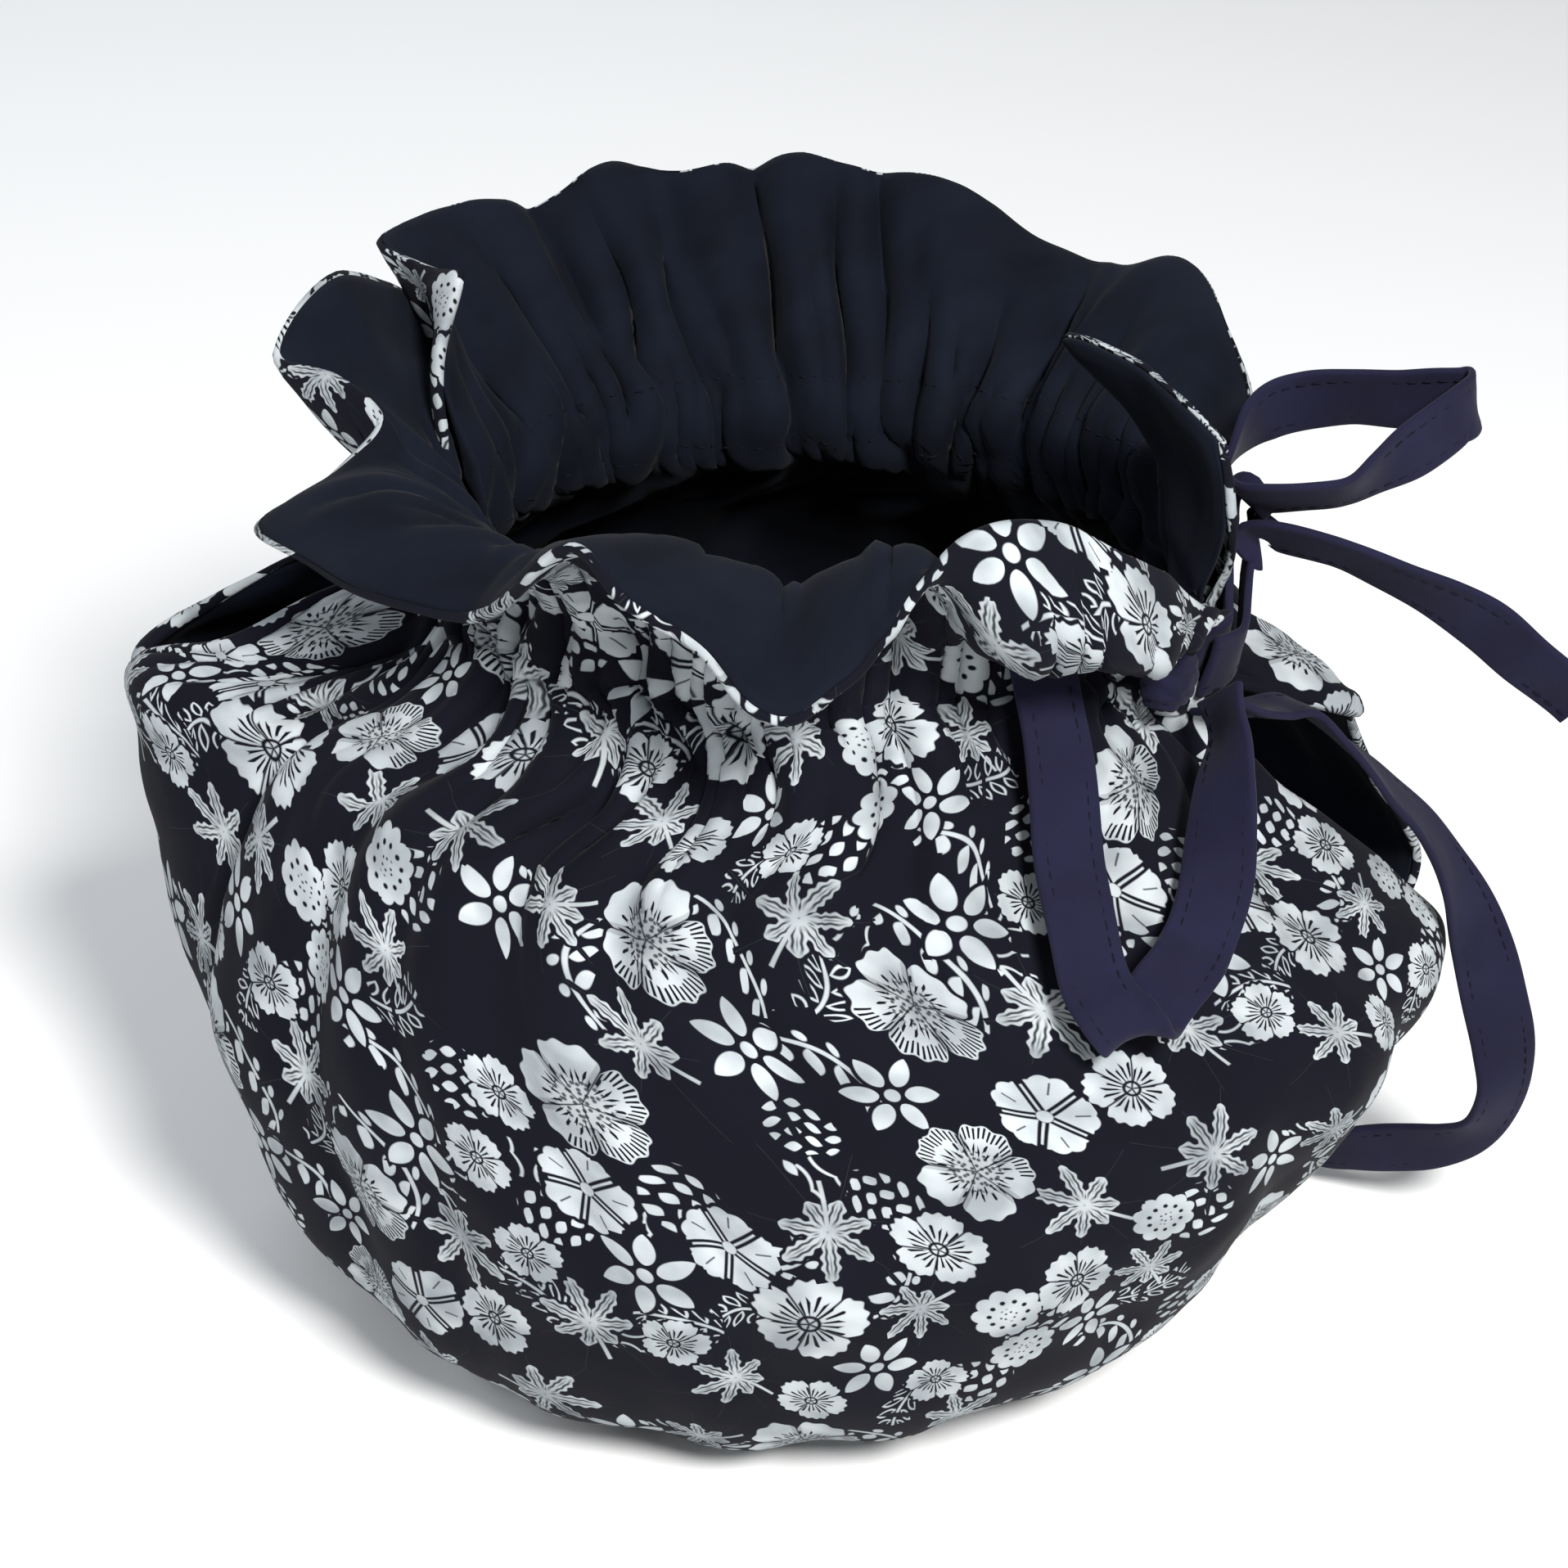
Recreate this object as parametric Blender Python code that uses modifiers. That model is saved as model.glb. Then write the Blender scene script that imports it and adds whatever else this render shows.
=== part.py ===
"""A gathered cloth tea cosy, standing on its hem.

Two printed panels and two lining panels make the cover. The panels are sewn together at the spout
side, below and above the spout hole, and under the slit at the handle side. An elastic channel draws
the neck in, and the cloth above it opens out as a ruffle that stands at the back and flops over at
the front. A bow of two flat ties closes the neck at the handle side.

Angles go anticlockwise seen from above: 0 is the handle side, 90 the back, 180 the spout side and
270 the front. Heights and radii in the tables are in millimetres.
"""
import math

import bmesh
import bpy
from mathutils import Matrix, Vector

MM = 0.001

# Driving dimensions
CLOTH = 1.0 * MM            # thickness of each layer of cloth
LAYER_GAP = 0.5 * MM        # between the printed cloth and the lining
HEM_LIFT = CLOTH + LAYER_GAP / 2  # the surface between the layers runs this far above the table
SEAM_GAP = 0.8 * MM         # between two panels where they are sewn edge to edge
CHANNEL = 11.0              # height of the elastic channel under the ruffle
CHANNEL_TAPER = 0.8         # how much wider the channel is at its lower edge
GATHER_SHARE = 0.8          # the depth of the creases in the channel, as a share of their full depth
TIE_WIDTH = 10.5 * MM
TIE_THICKNESS = 1.6 * MM
COLUMNS_A_FOLD = 2          # columns of faces from one row of a ruffle table to the next
RUFFLE_STEPS = 3            # rows of faces from a ruffle's foot to its middle, and again to its hem
SPOUT_SEAM = 176.0          # angle of the seam at the spout side
SPOUT_SPREAD = 17.0         # degrees either side of the spout hole that the cloth stands out over
FLARE_SPREAD = 26.0         # degrees from the slit that the back panel stands out over
SHOULDER = 104.0            # height where the gathers are at their full depth
CHANNEL_TOP = 127.0         # height of the ruffle's foot where the cloth doesn't sag
SAG_FROM = {"front": 60.0, "back": 90.0}  # under a sagging channel the bag is lower from here up

# The neck's axis stands off the origin, because the ties reach out on one side only.
NECK_X = -5.35
NECK_Y = 0.0

COLOURS = {
    "print": (0.030, 0.032, 0.045),
    "lining": (0.012, 0.014, 0.022),
    "tie": (0.030, 0.028, 0.070),
}

# The bag of the cover, from the inner edge of its hem up to the shoulder.
# out: how far the cloth stands out over the spout's root; spout_gap and handle_gap: half the width of
# the spout hole and of the handle slit, in degrees; handle_deg: where the slit's middle is; flare:
# how far the back panel's edge stands out over the handle.
BODY_COLUMNS = (
    "height", "half_width", "half_depth", "shift", "out", "spout_gap", "handle_deg", "handle_gap", "flare",
)
BODY = (
    (0.0, 46.0, 50.0, -7.0, 0.0, 0.0, 2.0, 0.0, 0.0),
    (0.0, 51.0, 55.0, -7.0, 0.0, 0.0, 2.0, 0.0, 0.0),
    (0.0, 56.0, 60.0, -7.0, 0.0, 0.0, 2.0, 0.0, 0.0),
    (5.0, 66.5, 71.0, -6.0, 0.0, 0.0, 2.0, 0.0, 0.0),
    (14.0, 77.0, 81.5, -5.0, 0.0, 0.0, 1.0, 0.0, 0.0),
    (27.0, 84.5, 88.0, -4.0, 0.0, 0.0, 0.0, 0.0, 0.0),
    (42.0, 91.5, 92.0, -1.0, 0.0, 0.0, 0.0, 3.0, 0.0),
    (58.0, 98.0, 92.5, 0.5, 2.5, 0.0, -1.0, 7.0, 0.0),
    (73.0, 92.0, 90.0, -2.0, 8.5, 0.0, -3.0, 8.5, 0.0),
    (86.0, 84.5, 84.0, -4.0, 16.0, 0.0, -7.0, 8.0, 5.0),
    (96.0, 76.5, 76.0, -4.0, 24.5, 0.3, -11.0, 6.5, 12.0),
    (104.0, 68.0, 66.0, -1.5, 25.0, 8.0, -14.0, 4.5, 18.5),
    (110.5, 60.5, 58.0, -0.5, 18.0, 8.5, -16.0, 3.0, 10.0),
)

# The ruffle, a row for each fold: its foot at the top of the channel, its middle and its hem, each
# an angle, a radius from the neck's axis and a height.
RUFFLE_COLUMNS = (
    "foot_deg", "foot_r", "foot_z", "mid_deg", "mid_r", "mid_z", "hem_deg", "hem_r", "hem_z",
)
BACK_RUFFLE = (
    (-16.6, 60.5, 117.0, -20.0, 64.5, 131.0, -19.0, 62.0, 143.5),
    (-11.0, 57.0, 121.5, -12.0, 57.0, 136.5, -9.0, 49.5, 149.0),
    (-3.0, 55.5, 125.5, 1.0, 47.5, 140.5, 12.0, 38.5, 149.0),
    (6.0, 56.0, 127.0, 4.0, 55.0, 133.0, 5.5, 52.6, 139.0),
    (15.0, 56.0, 127.0, 9.0, 62.5, 131.5, 2.0, 65.5, 134.0),
    (24.0, 55.5, 127.0, 23.0, 65.0, 138.5, 23.0, 70.5, 143.5),
    (34.0, 54.5, 127.0, 33.0, 62.0, 141.0, 35.0, 73.5, 149.5),
    (44.0, 53.5, 127.0, 44.0, 60.5, 140.5, 45.0, 70.0, 146.0),
    (55.0, 52.5, 127.0, 56.0, 62.0, 140.0, 57.5, 71.0, 147.0),
    (66.0, 52.0, 127.0, 68.0, 60.5, 143.0, 69.5, 71.0, 154.5),
    (78.0, 51.5, 127.0, 80.0, 62.5, 142.0, 81.5, 71.0, 156.0),
    (90.0, 51.5, 127.0, 91.0, 60.5, 144.0, 93.0, 74.0, 157.5),
    (102.0, 52.0, 127.0, 104.0, 63.5, 142.5, 105.0, 73.0, 156.0),
    (113.0, 52.5, 127.0, 114.0, 62.0, 143.0, 115.5, 78.0, 156.5),
    (124.0, 53.0, 127.0, 124.0, 65.5, 140.5, 124.5, 77.0, 152.5),
    (135.0, 53.5, 127.0, 134.0, 65.0, 142.0, 134.0, 80.0, 155.0),
    (147.0, 54.0, 127.0, 147.0, 66.5, 140.5, 146.0, 82.0, 152.5),
    (160.0, 54.0, 127.0, 156.0, 60.5, 141.0, 150.0, 70.0, 151.5),
    (175.6, 52.6, 127.0, 167.5, 58.0, 141.0, 154.0, 59.0, 153.0),
)
FRONT_RUFFLE = (
    (176.4, 55.6, 127.0, 148.0, 69.0, 137.0, 142.0, 76.0, 140.5),
    (181.0, 54.3, 127.0, 172.0, 67.0, 141.5, 164.0, 75.0, 154.5),
    (186.0, 54.6, 127.0, 181.0, 70.5, 139.0, 176.5, 79.5, 148.0),
    (191.0, 55.0, 127.0, 187.3, 64.8, 138.2, 183.5, 69.0, 147.0),
    (196.0, 55.0, 127.0, 193.0, 60.2, 137.0, 189.6, 63.6, 142.5),
    (201.5, 55.0, 127.0, 197.5, 62.5, 136.5, 193.0, 71.0, 137.0),
    (207.5, 55.0, 127.0, 202.5, 67.0, 138.0, 196.0, 83.5, 131.8),
    (214.0, 54.8, 127.0, 210.5, 66.5, 138.0, 206.0, 78.5, 130.0),
    (221.0, 54.5, 127.0, 219.5, 63.0, 137.0, 218.0, 74.5, 129.5),
    (228.5, 54.0, 127.0, 228.0, 60.0, 134.5, 227.0, 69.5, 129.5),
    (236.0, 53.2, 126.5, 236.5, 62.0, 139.5, 237.0, 73.5, 139.5),
    (243.5, 52.5, 126.0, 244.5, 63.5, 142.5, 245.5, 76.5, 148.0),
    (251.0, 52.0, 126.0, 251.5, 64.5, 144.0, 252.0, 80.0, 142.5),
    (258.5, 52.0, 126.0, 259.0, 64.0, 142.0, 259.5, 82.0, 138.0),
    (266.0, 52.0, 126.0, 266.5, 62.5, 137.0, 266.5, 84.0, 130.0),
    (273.5, 52.0, 126.0, 273.0, 62.5, 140.5, 272.0, 82.0, 134.0),
    (281.0, 52.3, 126.0, 279.5, 63.0, 144.5, 277.0, 77.5, 139.5),
    (289.0, 52.8, 126.0, 285.5, 66.0, 139.5, 281.5, 74.5, 146.0),
    (297.5, 53.4, 126.0, 291.0, 72.0, 132.0, 287.5, 73.5, 151.0),
    (306.5, 54.3, 125.5, 298.5, 74.0, 130.5, 296.5, 72.0, 149.0),
    (316.0, 55.4, 124.2, 305.5, 74.0, 127.0, 305.5, 70.5, 141.5),
    (325.0, 56.8, 121.8, 309.5, 72.5, 125.0, 316.0, 67.5, 133.5),
    (333.5, 58.8, 119.2, 314.5, 69.8, 124.5, 324.0, 67.0, 126.2),
    (341.6, 60.5, 117.0, 323.0, 68.5, 123.2, 331.0, 67.8, 122.2),
)

# The deep creases that run down from the neck: an angle, a depth and a spread in degrees, and the
# height at which the crease has died out.
CREASE_COLUMNS = ("angle", "depth", "spread", "ends_at")
CREASES = (
    (-9.0, 1.8, 3.5, 80.0), (3.0, 2.6, 4.0, 62.0), (15.0, 2.2, 4.0, 70.0), (28.0, 3.0, 4.5, 55.0),
    (40.0, 2.4, 4.0, 66.0), (52.0, 3.2, 4.5, 50.0), (64.0, 2.4, 4.0, 64.0), (76.0, 3.0, 4.0, 52.0),
    (88.0, 2.2, 4.0, 68.0), (99.0, 3.2, 4.5, 50.0), (111.0, 2.4, 4.0, 60.0), (123.0, 3.0, 4.5, 54.0),
    (135.0, 2.4, 4.0, 66.0), (147.0, 3.0, 4.5, 48.0), (160.0, 2.4, 4.0, 60.0), (196.0, 5.0, 3.6, 34.0),
    (209.0, 2.4, 4.0, 62.0), (219.0, 3.6, 4.5, 40.0), (231.0, 2.6, 3.5, 66.0), (241.0, 3.8, 4.5, 42.0),
    (253.0, 2.4, 3.5, 72.0), (263.0, 2.8, 4.0, 58.0), (273.0, 2.2, 3.5, 70.0), (282.0, 3.8, 4.2, 44.0),
    (294.0, 2.6, 4.0, 62.0), (305.0, 3.6, 4.5, 46.0), (317.0, 2.4, 4.0, 66.0), (329.0, 3.2, 4.0, 56.0),
)
HEM_PUCKERS = 19            # small folds round the bottom hem
HEM_PUCKER_DEPTH = 1.3
PUCKERS_DEEPEST = 5.0       # height at which the puckers are deepest, and where they have died out
PUCKERS_TOP = 27.0

# The ties: a row for each place along a strip, with the x, y and z of its middle, measured from the
# neck's axis, and the direction in x, y and z that its width lies in.
TIES = {
    "tie_loop_front": (
        (31.0, -47.2, 124.2, 0.85, 0.50, -0.05),
        (32.5, -49.8, 118.5, 0.88, 0.47, -0.05),
        (33.8, -54.0, 112.3, 0.90, 0.42, -0.10),
        (34.5, -59.0, 107.5, 0.95, 0.35, -0.10),
        (35.0, -67.0, 100.5, 0.90, 0.40, 0.00),
        (36.5, -74.5, 94.0, 0.85, 0.50, 0.10),
        (38.0, -79.0, 88.5, 0.85, 0.50, 0.20),
        (40.0, -82.5, 86.0, 0.85, 0.45, 0.20),
        (42.5, -83.3, 83.4, 0.93, 0.33, 0.15),
        (44.0, -81.5, 82.0, 0.95, 0.25, 0.15),
        (45.5, -78.8, 82.8, 0.95, 0.25, 0.05),
        (48.0, -76.0, 85.0, 0.92, 0.30, -0.10),
        (51.0, -72.5, 87.0, 0.90, 0.30, -0.20),
        (53.5, -67.5, 88.5, 0.90, 0.20, -0.20),
        (56.0, -62.0, 93.5, 0.90, -0.05, -0.10),
        (57.0, -56.5, 98.5, 0.90, -0.45, 0.10),
        (58.0, -49.5, 104.0, 0.65, -0.75, 0.25),
        (58.8, -43.5, 108.5, 0.35, -0.90, 0.30),
        (57.8, -39.6, 113.0, 0.55, -0.75, 0.40),
    ),
    "tie_loop_upper": (
        (55.0, -29.6, 113.0, 0.15, -0.15, 0.95),
        (60.0, -23.6, 113.0, 0.05, -0.35, 0.90),
        (61.3, -17.0, 115.6, 0.00, -0.55, 0.83),
        (61.4, -11.5, 120.8, 0.00, -0.88, 0.45),
        (61.7, -9.8, 126.5, 0.00, -0.97, 0.20),
        (62.8, -11.0, 131.0, 0.15, -0.90, 0.40),
        (65.0, -14.5, 132.2, -0.10, -0.75, 0.65),
        (72.5, -17.0, 133.5, -0.20, -0.75, 0.65),
        (78.0, -17.0, 134.5, -0.20, -0.75, 0.65),
        (82.5, -16.0, 137.0, -0.35, -0.60, 0.75),
        (87.0, -14.5, 139.5, -0.45, -0.35, 0.80),
        (91.5, -12.5, 142.0, -0.45, -0.30, 0.85),
        (94.5, -11.0, 144.0, -0.30, -0.30, 0.90),
        (96.5, -8.5, 144.5, -0.25, -0.30, 0.95),
        (96.5, -6.0, 144.5, -0.15, -0.30, 0.95),
        (93.5, -4.5, 144.0, -0.05, -0.30, 0.95),
        (87.5, -2.5, 143.0, 0.00, -0.30, 0.95),
        (80.0, -1.5, 143.0, 0.00, -0.35, 0.95),
        (72.5, -1.0, 142.0, 0.00, -0.25, 0.95),
        (66.5, -3.0, 140.3, 0.00, -0.25, 0.95),
        (61.2, -6.0, 134.0, -0.10, -0.90, 0.40),
        (59.9, -8.2, 128.5, -0.10, -0.95, 0.20),
    ),
    "tie_end_long": (
        (57.1, -30.7, 112.4, 0.15, -0.15, 0.95),
        (62.1, -24.4, 112.0, 0.05, -0.40, 0.88),
        (63.8, -17.2, 114.6, 0.00, -0.55, 0.83),
        (64.7, -11.8, 119.2, 0.00, -0.88, 0.45),
        (65.6, -10.8, 123.2, 0.00, -0.96, 0.25),
        (66.5, -13.5, 126.0, 0.05, -0.75, 0.65),
        (74.5, -16.0, 125.0, 0.10, -0.75, 0.65),
        (80.0, -17.0, 123.5, 0.10, -0.75, 0.65),
        (87.0, -18.0, 120.5, 0.15, -0.70, 0.70),
        (93.5, -19.0, 117.5, 0.25, -0.55, 0.80),
        (99.5, -20.0, 114.0, 0.40, -0.45, 0.80),
        (105.5, -21.0, 109.0, 0.40, -0.45, 0.80),
        (112.0, -22.0, 104.0, 0.45, -0.50, 0.75),
        (114.0, -22.5, 102.5, 0.45, -0.45, 0.75),
    ),
    "tie_end_curled": (
        (58.3, -33.4, 107.6, -0.55, 0.40, -0.30),
        (62.6, -30.3, 105.0, -0.65, 0.60, -0.25),
        (67.2, -26.4, 103.8, -0.60, 0.75, -0.10),
        (72.5, -24.0, 103.0, -0.40, 0.90, -0.15),
        (79.0, -23.0, 96.5, -0.10, 0.95, -0.25),
        (86.5, -21.5, 88.5, 0.30, 0.90, -0.25),
        (93.0, -20.0, 81.0, 0.40, 0.90, -0.25),
        (99.0, -19.5, 71.0, 0.65, 0.75, -0.20),
        (103.5, -19.0, 60.0, 0.90, 0.35, 0.05),
        (106.5, -18.5, 50.0, 1.00, 0.10, 0.10),
        (109.0, -17.5, 41.0, 1.00, 0.20, -0.10),
        (110.0, -16.5, 32.5, 0.80, 0.50, -0.40),
        (108.5, -14.5, 25.0, 0.60, 0.55, -0.60),
        (104.5, -11.5, 19.5, 0.50, 0.35, -0.80),
        (99.0, -8.0, 16.0, 0.30, 0.20, -0.95),
        (93.0, -4.0, 13.0, 0.10, 0.30, -0.95),
        (86.5, 0.0, 10.5, -0.05, 0.45, -0.90),
        (81.0, 5.0, 9.0, -0.15, 0.55, -0.80),
    ),
}
KNOT_DEG, KNOT_R, KNOT_Z = -35.0, 62.4, 113.4
KNOT_SIZE = (7.0, 11.5, 10.4)  # outward, round the neck, and up
KNOT_ROUNDING = 2.0 * MM
STEPS_A_TIE_ROW = 2


def named(columns, row):
    return dict(zip(columns, row))


def through(a, b, c, d, t):
    """A smooth curve through b and c, at t from 0 to 1, led by the values before and after."""
    return b + 0.5 * t * (c - a + t * (2 * a - 5 * b + 4 * c - d + t * (3 * (b - c) + d - a)))


def between_rows(table, place):
    """The values of a table at a place between its rows, on smooth curves through them."""
    last = len(table) - 1
    i = min(int(place), last - 1)
    rows = [table[min(max(i + step, 0), last)] for step in (-1, 0, 1, 2)]
    return [through(*values, place - i) for values in zip(*rows)]


def on_circle(deg, radius, height):
    """A point at an angle, a radius from the neck's axis and a height, in metres."""
    angle = math.radians(deg)
    return Vector((
        (NECK_X + radius * math.cos(angle)) * MM,
        (NECK_Y + radius * math.sin(angle)) * MM,
        height * MM,
    ))


def angle_apart(a, b):
    return (a - b + 180.0) % 360.0 - 180.0


def crease_depth(deg, height):
    """How deep the creases from the neck are, in millimetres, at an angle and a height."""
    depth = 0.0
    for crease in (named(CREASE_COLUMNS, row) for row in CREASES):
        share = min(max((height - crease["ends_at"]) / (SHOULDER - crease["ends_at"]), 0.0), 1.0)
        off = angle_apart(deg, crease["angle"]) / crease["spread"]
        depth += crease["depth"] * share * share * (3 - 2 * share) * math.exp(-off * off)
    return depth


def body_point(row, panel, share):
    """A point of the bag: a row of BODY, a panel, and how far across the panel it is, from 0 to 1."""
    ring = named(BODY_COLUMNS, row)
    if panel == "front":
        start, end = SPOUT_SEAM + ring["spout_gap"], 360.0 + ring["handle_deg"] - ring["handle_gap"]
    else:
        start, end = ring["handle_deg"] + ring["handle_gap"], SPOUT_SEAM - ring["spout_gap"]
    seam = math.degrees(0.5 * SEAM_GAP / MM / ring["half_width"])
    deg = start + seam + (end - start - 2 * seam) * share
    angle = math.radians(deg)
    oval = 1.0 / math.hypot(math.cos(angle) / ring["half_width"], math.sin(angle) / ring["half_depth"])
    off = min(abs(angle_apart(deg, SPOUT_SEAM)) / SPOUT_SPREAD, 1.0)
    oval += ring["out"] * (1.0 - off * off)
    if panel == "back":
        off = min(abs(angle_apart(deg, start)) / FLARE_SPREAD, 1.0)
        oval += ring["flare"] * (1.0 - off) ** 2
    oval -= crease_depth(deg, ring["height"])
    rise = min(ring["height"] / PUCKERS_DEEPEST, 1.0)
    fall = max(1.0 - ring["height"] / PUCKERS_TOP, 0.0)
    oval += HEM_PUCKER_DEPTH * rise * fall * math.cos(HEM_PUCKERS * angle)
    base = HEM_LIFT / MM + ring["height"]
    point = on_circle(deg, oval, base)
    point.x += ring["shift"] * MM
    return point


def meridian(panel, ruffle, share):
    """The points that a line of the cloth passes, from the bottom hem up to the ruffle's hem."""
    fold = named(RUFFLE_COLUMNS, between_rows(ruffle, share * (len(ruffle) - 1)))
    share_at_neck = (fold["foot_deg"] - ruffle[0][0]) / (ruffle[-1][0] - ruffle[0][0])
    points = []
    for ring in BODY:
        rise = ring[0] / BODY[-1][0]
        near_top = max(ring[0] - SAG_FROM[panel], 0.0) / (BODY[-1][0] - SAG_FROM[panel])
        sag = (CHANNEL_TOP - fold["foot_z"]) * near_top * near_top * (3 - 2 * near_top)
        point = body_point(ring, panel, share + (share_at_neck - share) * rise)
        points.append(point - Vector((0.0, 0.0, sag * MM)))
    tuck = GATHER_SHARE * crease_depth(fold["foot_deg"], SHOULDER)
    low_r = fold["foot_r"] + CHANNEL_TAPER - tuck
    points.append(on_circle(fold["foot_deg"], low_r, fold["foot_z"] - CHANNEL))
    points.append(on_circle(fold["foot_deg"], fold["foot_r"] - tuck, fold["foot_z"]))
    points.append(on_circle(fold["mid_deg"], fold["mid_r"], fold["mid_z"]))
    points.append(on_circle(fold["hem_deg"], fold["hem_r"], fold["hem_z"]))
    return points


def panel_surface(name, panel, ruffle):
    """The sheet midway between the two layers of a panel, as a grid bent to the cloth's shape."""
    columns = (len(ruffle) - 1) * COLUMNS_A_FOLD
    steps = len(BODY) + 1
    stops = list(range(steps)) + [steps + i / RUFFLE_STEPS for i in range(2 * RUFFLE_STEPS + 1)]
    shape = bmesh.new()
    bmesh.ops.create_grid(shape, x_segments=columns, y_segments=len(stops) - 1, size=0.5)
    for vertex in shape.verts:
        share = vertex.co.x + 0.5
        line = round((vertex.co.y + 0.5) * (len(stops) - 1))
        vertex.co = Vector(between_rows(meridian(panel, ruffle, share), stops[line]))
    bmesh.ops.triangulate(shape, faces=shape.faces[:])  # so that both layers bend along the same lines
    mesh = bpy.data.meshes.new(name)
    shape.to_mesh(mesh)
    shape.free()
    return mesh


def material(kind, roughness=0.9):
    made = bpy.data.materials.new(kind)
    made.use_nodes = True
    shader = made.node_tree.nodes["Principled BSDF"]
    shader.inputs["Base Color"].default_value = (*COLOURS[kind], 1.0)
    shader.inputs["Roughness"].default_value = roughness
    shader.inputs["Metallic"].default_value = 0.0
    return made


def add_piece(mesh, name, kind):
    piece = bpy.data.objects.new(name, mesh)
    piece.data.materials.append(material(kind))
    piece.data.shade_smooth()
    collection.objects.link(piece)
    return piece


def add_layer(mesh, name, kind, side):
    """A layer of cloth beside the surface: side is 1 for outside it and -1 for inside."""
    piece = add_piece(mesh, name, kind)
    wall = piece.modifiers.new("cloth", "SOLIDIFY")
    wall.thickness = CLOTH
    wall.offset = side * (1.0 + LAYER_GAP / CLOTH)
    wall.use_rim = True
    return piece


def strip_surface(name, table):
    """The middle of a tie: a long grid whose width is turned along the rows of its table."""
    stops = (len(table) - 1) * STEPS_A_TIE_ROW
    shape = bmesh.new()
    bmesh.ops.create_grid(shape, x_segments=2, y_segments=stops, size=0.5)
    for vertex in shape.verts:
        place = (vertex.co.y + 0.5) * (len(table) - 1)
        values = between_rows(table, place)
        before = Vector(between_rows(table, max(place - 0.1, 0.0))[:3])
        after = Vector(between_rows(table, min(place + 0.1, len(table) - 1))[:3])
        along = (after - before).normalized()
        across = Vector(values[3:])
        across = (across - across.dot(along) * along).normalized()
        middle = Vector(values[:3]) * MM + Vector((NECK_X * MM, NECK_Y * MM, 0.0))
        vertex.co = middle + across * (vertex.co.x * TIE_WIDTH)
    mesh = bpy.data.meshes.new(name)
    shape.to_mesh(mesh)
    shape.free()
    return mesh


def knot_mesh():
    """The knot: a block with well rounded corners, its back against the channel."""
    shape = bmesh.new()
    turn = Matrix.Rotation(math.radians(KNOT_DEG), 4, "Z")
    place = Matrix.Translation(on_circle(KNOT_DEG, KNOT_R, KNOT_Z)) @ turn
    size = Matrix.Diagonal((*(side * MM for side in KNOT_SIZE), 1.0))
    bmesh.ops.create_cube(shape, size=1.0, matrix=place @ size)
    bmesh.ops.bevel(shape, geom=shape.edges[:], offset=KNOT_ROUNDING, segments=3, profile=0.5,
                    affect="EDGES", material=-1)
    mesh = bpy.data.meshes.new("tie_knot")
    shape.to_mesh(mesh)
    shape.free()
    return mesh


for old in list(bpy.data.objects):
    bpy.data.objects.remove(old)
collection = bpy.data.collections.new("tea_cosy")
bpy.context.scene.collection.children.link(collection)

for panel, ruffle in (("front", FRONT_RUFFLE), ("back", BACK_RUFFLE)):
    surface = panel_surface(panel, panel, ruffle)
    add_layer(surface.copy(), "outer_" + panel, "print", 1)
    add_layer(surface, "lining_" + panel, "lining", -1)

for name, table in TIES.items():
    tie = add_piece(strip_surface(name, table), name, "tie")
    wall = tie.modifiers.new("cloth", "SOLIDIFY")
    wall.thickness = TIE_THICKNESS
    wall.offset = 0.0
    wall.use_rim = True
add_piece(knot_mesh(), "tie_knot", "tie")
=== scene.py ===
# %% [markdown]
# # A gathered tea cosy
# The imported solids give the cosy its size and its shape. Each of them is a plain, thick layer, made
# for a collision model. Here every layer is made again as thin cloth on the same lines: finer folds,
# rolled edges, stitches, and a print of pale flowers that follows the cloth.

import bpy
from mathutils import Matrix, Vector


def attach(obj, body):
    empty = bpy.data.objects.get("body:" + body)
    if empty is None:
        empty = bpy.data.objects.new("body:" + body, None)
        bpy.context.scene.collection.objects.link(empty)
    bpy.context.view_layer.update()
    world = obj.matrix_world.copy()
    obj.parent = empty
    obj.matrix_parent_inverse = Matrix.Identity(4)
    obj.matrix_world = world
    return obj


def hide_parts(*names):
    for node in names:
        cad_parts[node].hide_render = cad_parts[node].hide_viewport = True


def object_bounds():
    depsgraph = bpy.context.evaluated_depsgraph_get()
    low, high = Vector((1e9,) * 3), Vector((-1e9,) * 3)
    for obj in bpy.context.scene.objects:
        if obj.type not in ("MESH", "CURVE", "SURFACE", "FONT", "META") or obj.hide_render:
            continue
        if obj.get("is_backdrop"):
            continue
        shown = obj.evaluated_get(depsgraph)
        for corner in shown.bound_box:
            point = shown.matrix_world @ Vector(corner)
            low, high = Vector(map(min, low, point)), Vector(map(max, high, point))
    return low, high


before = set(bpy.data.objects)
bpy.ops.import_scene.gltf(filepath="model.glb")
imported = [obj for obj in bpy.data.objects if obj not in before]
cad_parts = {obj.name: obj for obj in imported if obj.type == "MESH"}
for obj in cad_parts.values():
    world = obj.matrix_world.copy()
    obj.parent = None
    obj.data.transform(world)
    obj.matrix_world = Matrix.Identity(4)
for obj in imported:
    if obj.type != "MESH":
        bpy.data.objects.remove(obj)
SOLIDS_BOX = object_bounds()
print("solids:", sorted(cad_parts))

# %% Modules
import math

import bmesh
import bpy
from mathutils import Matrix, Vector, kdtree, noise

MM = 0.001

# %% [markdown]
# ## The shape of the bag and the ruffle
# A fitted cover is easiest to describe by rings: how wide and deep the cloth is at each height. The
# ruffle above the elastic is described by its folds instead, one row for each crest or valley. These
# are the same tables that the solids were built from, so the thin cloth lies where they are.
#
# Angles go anticlockwise seen from above: 0 is the handle side, 180 the spout side, 270 the front.

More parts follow.
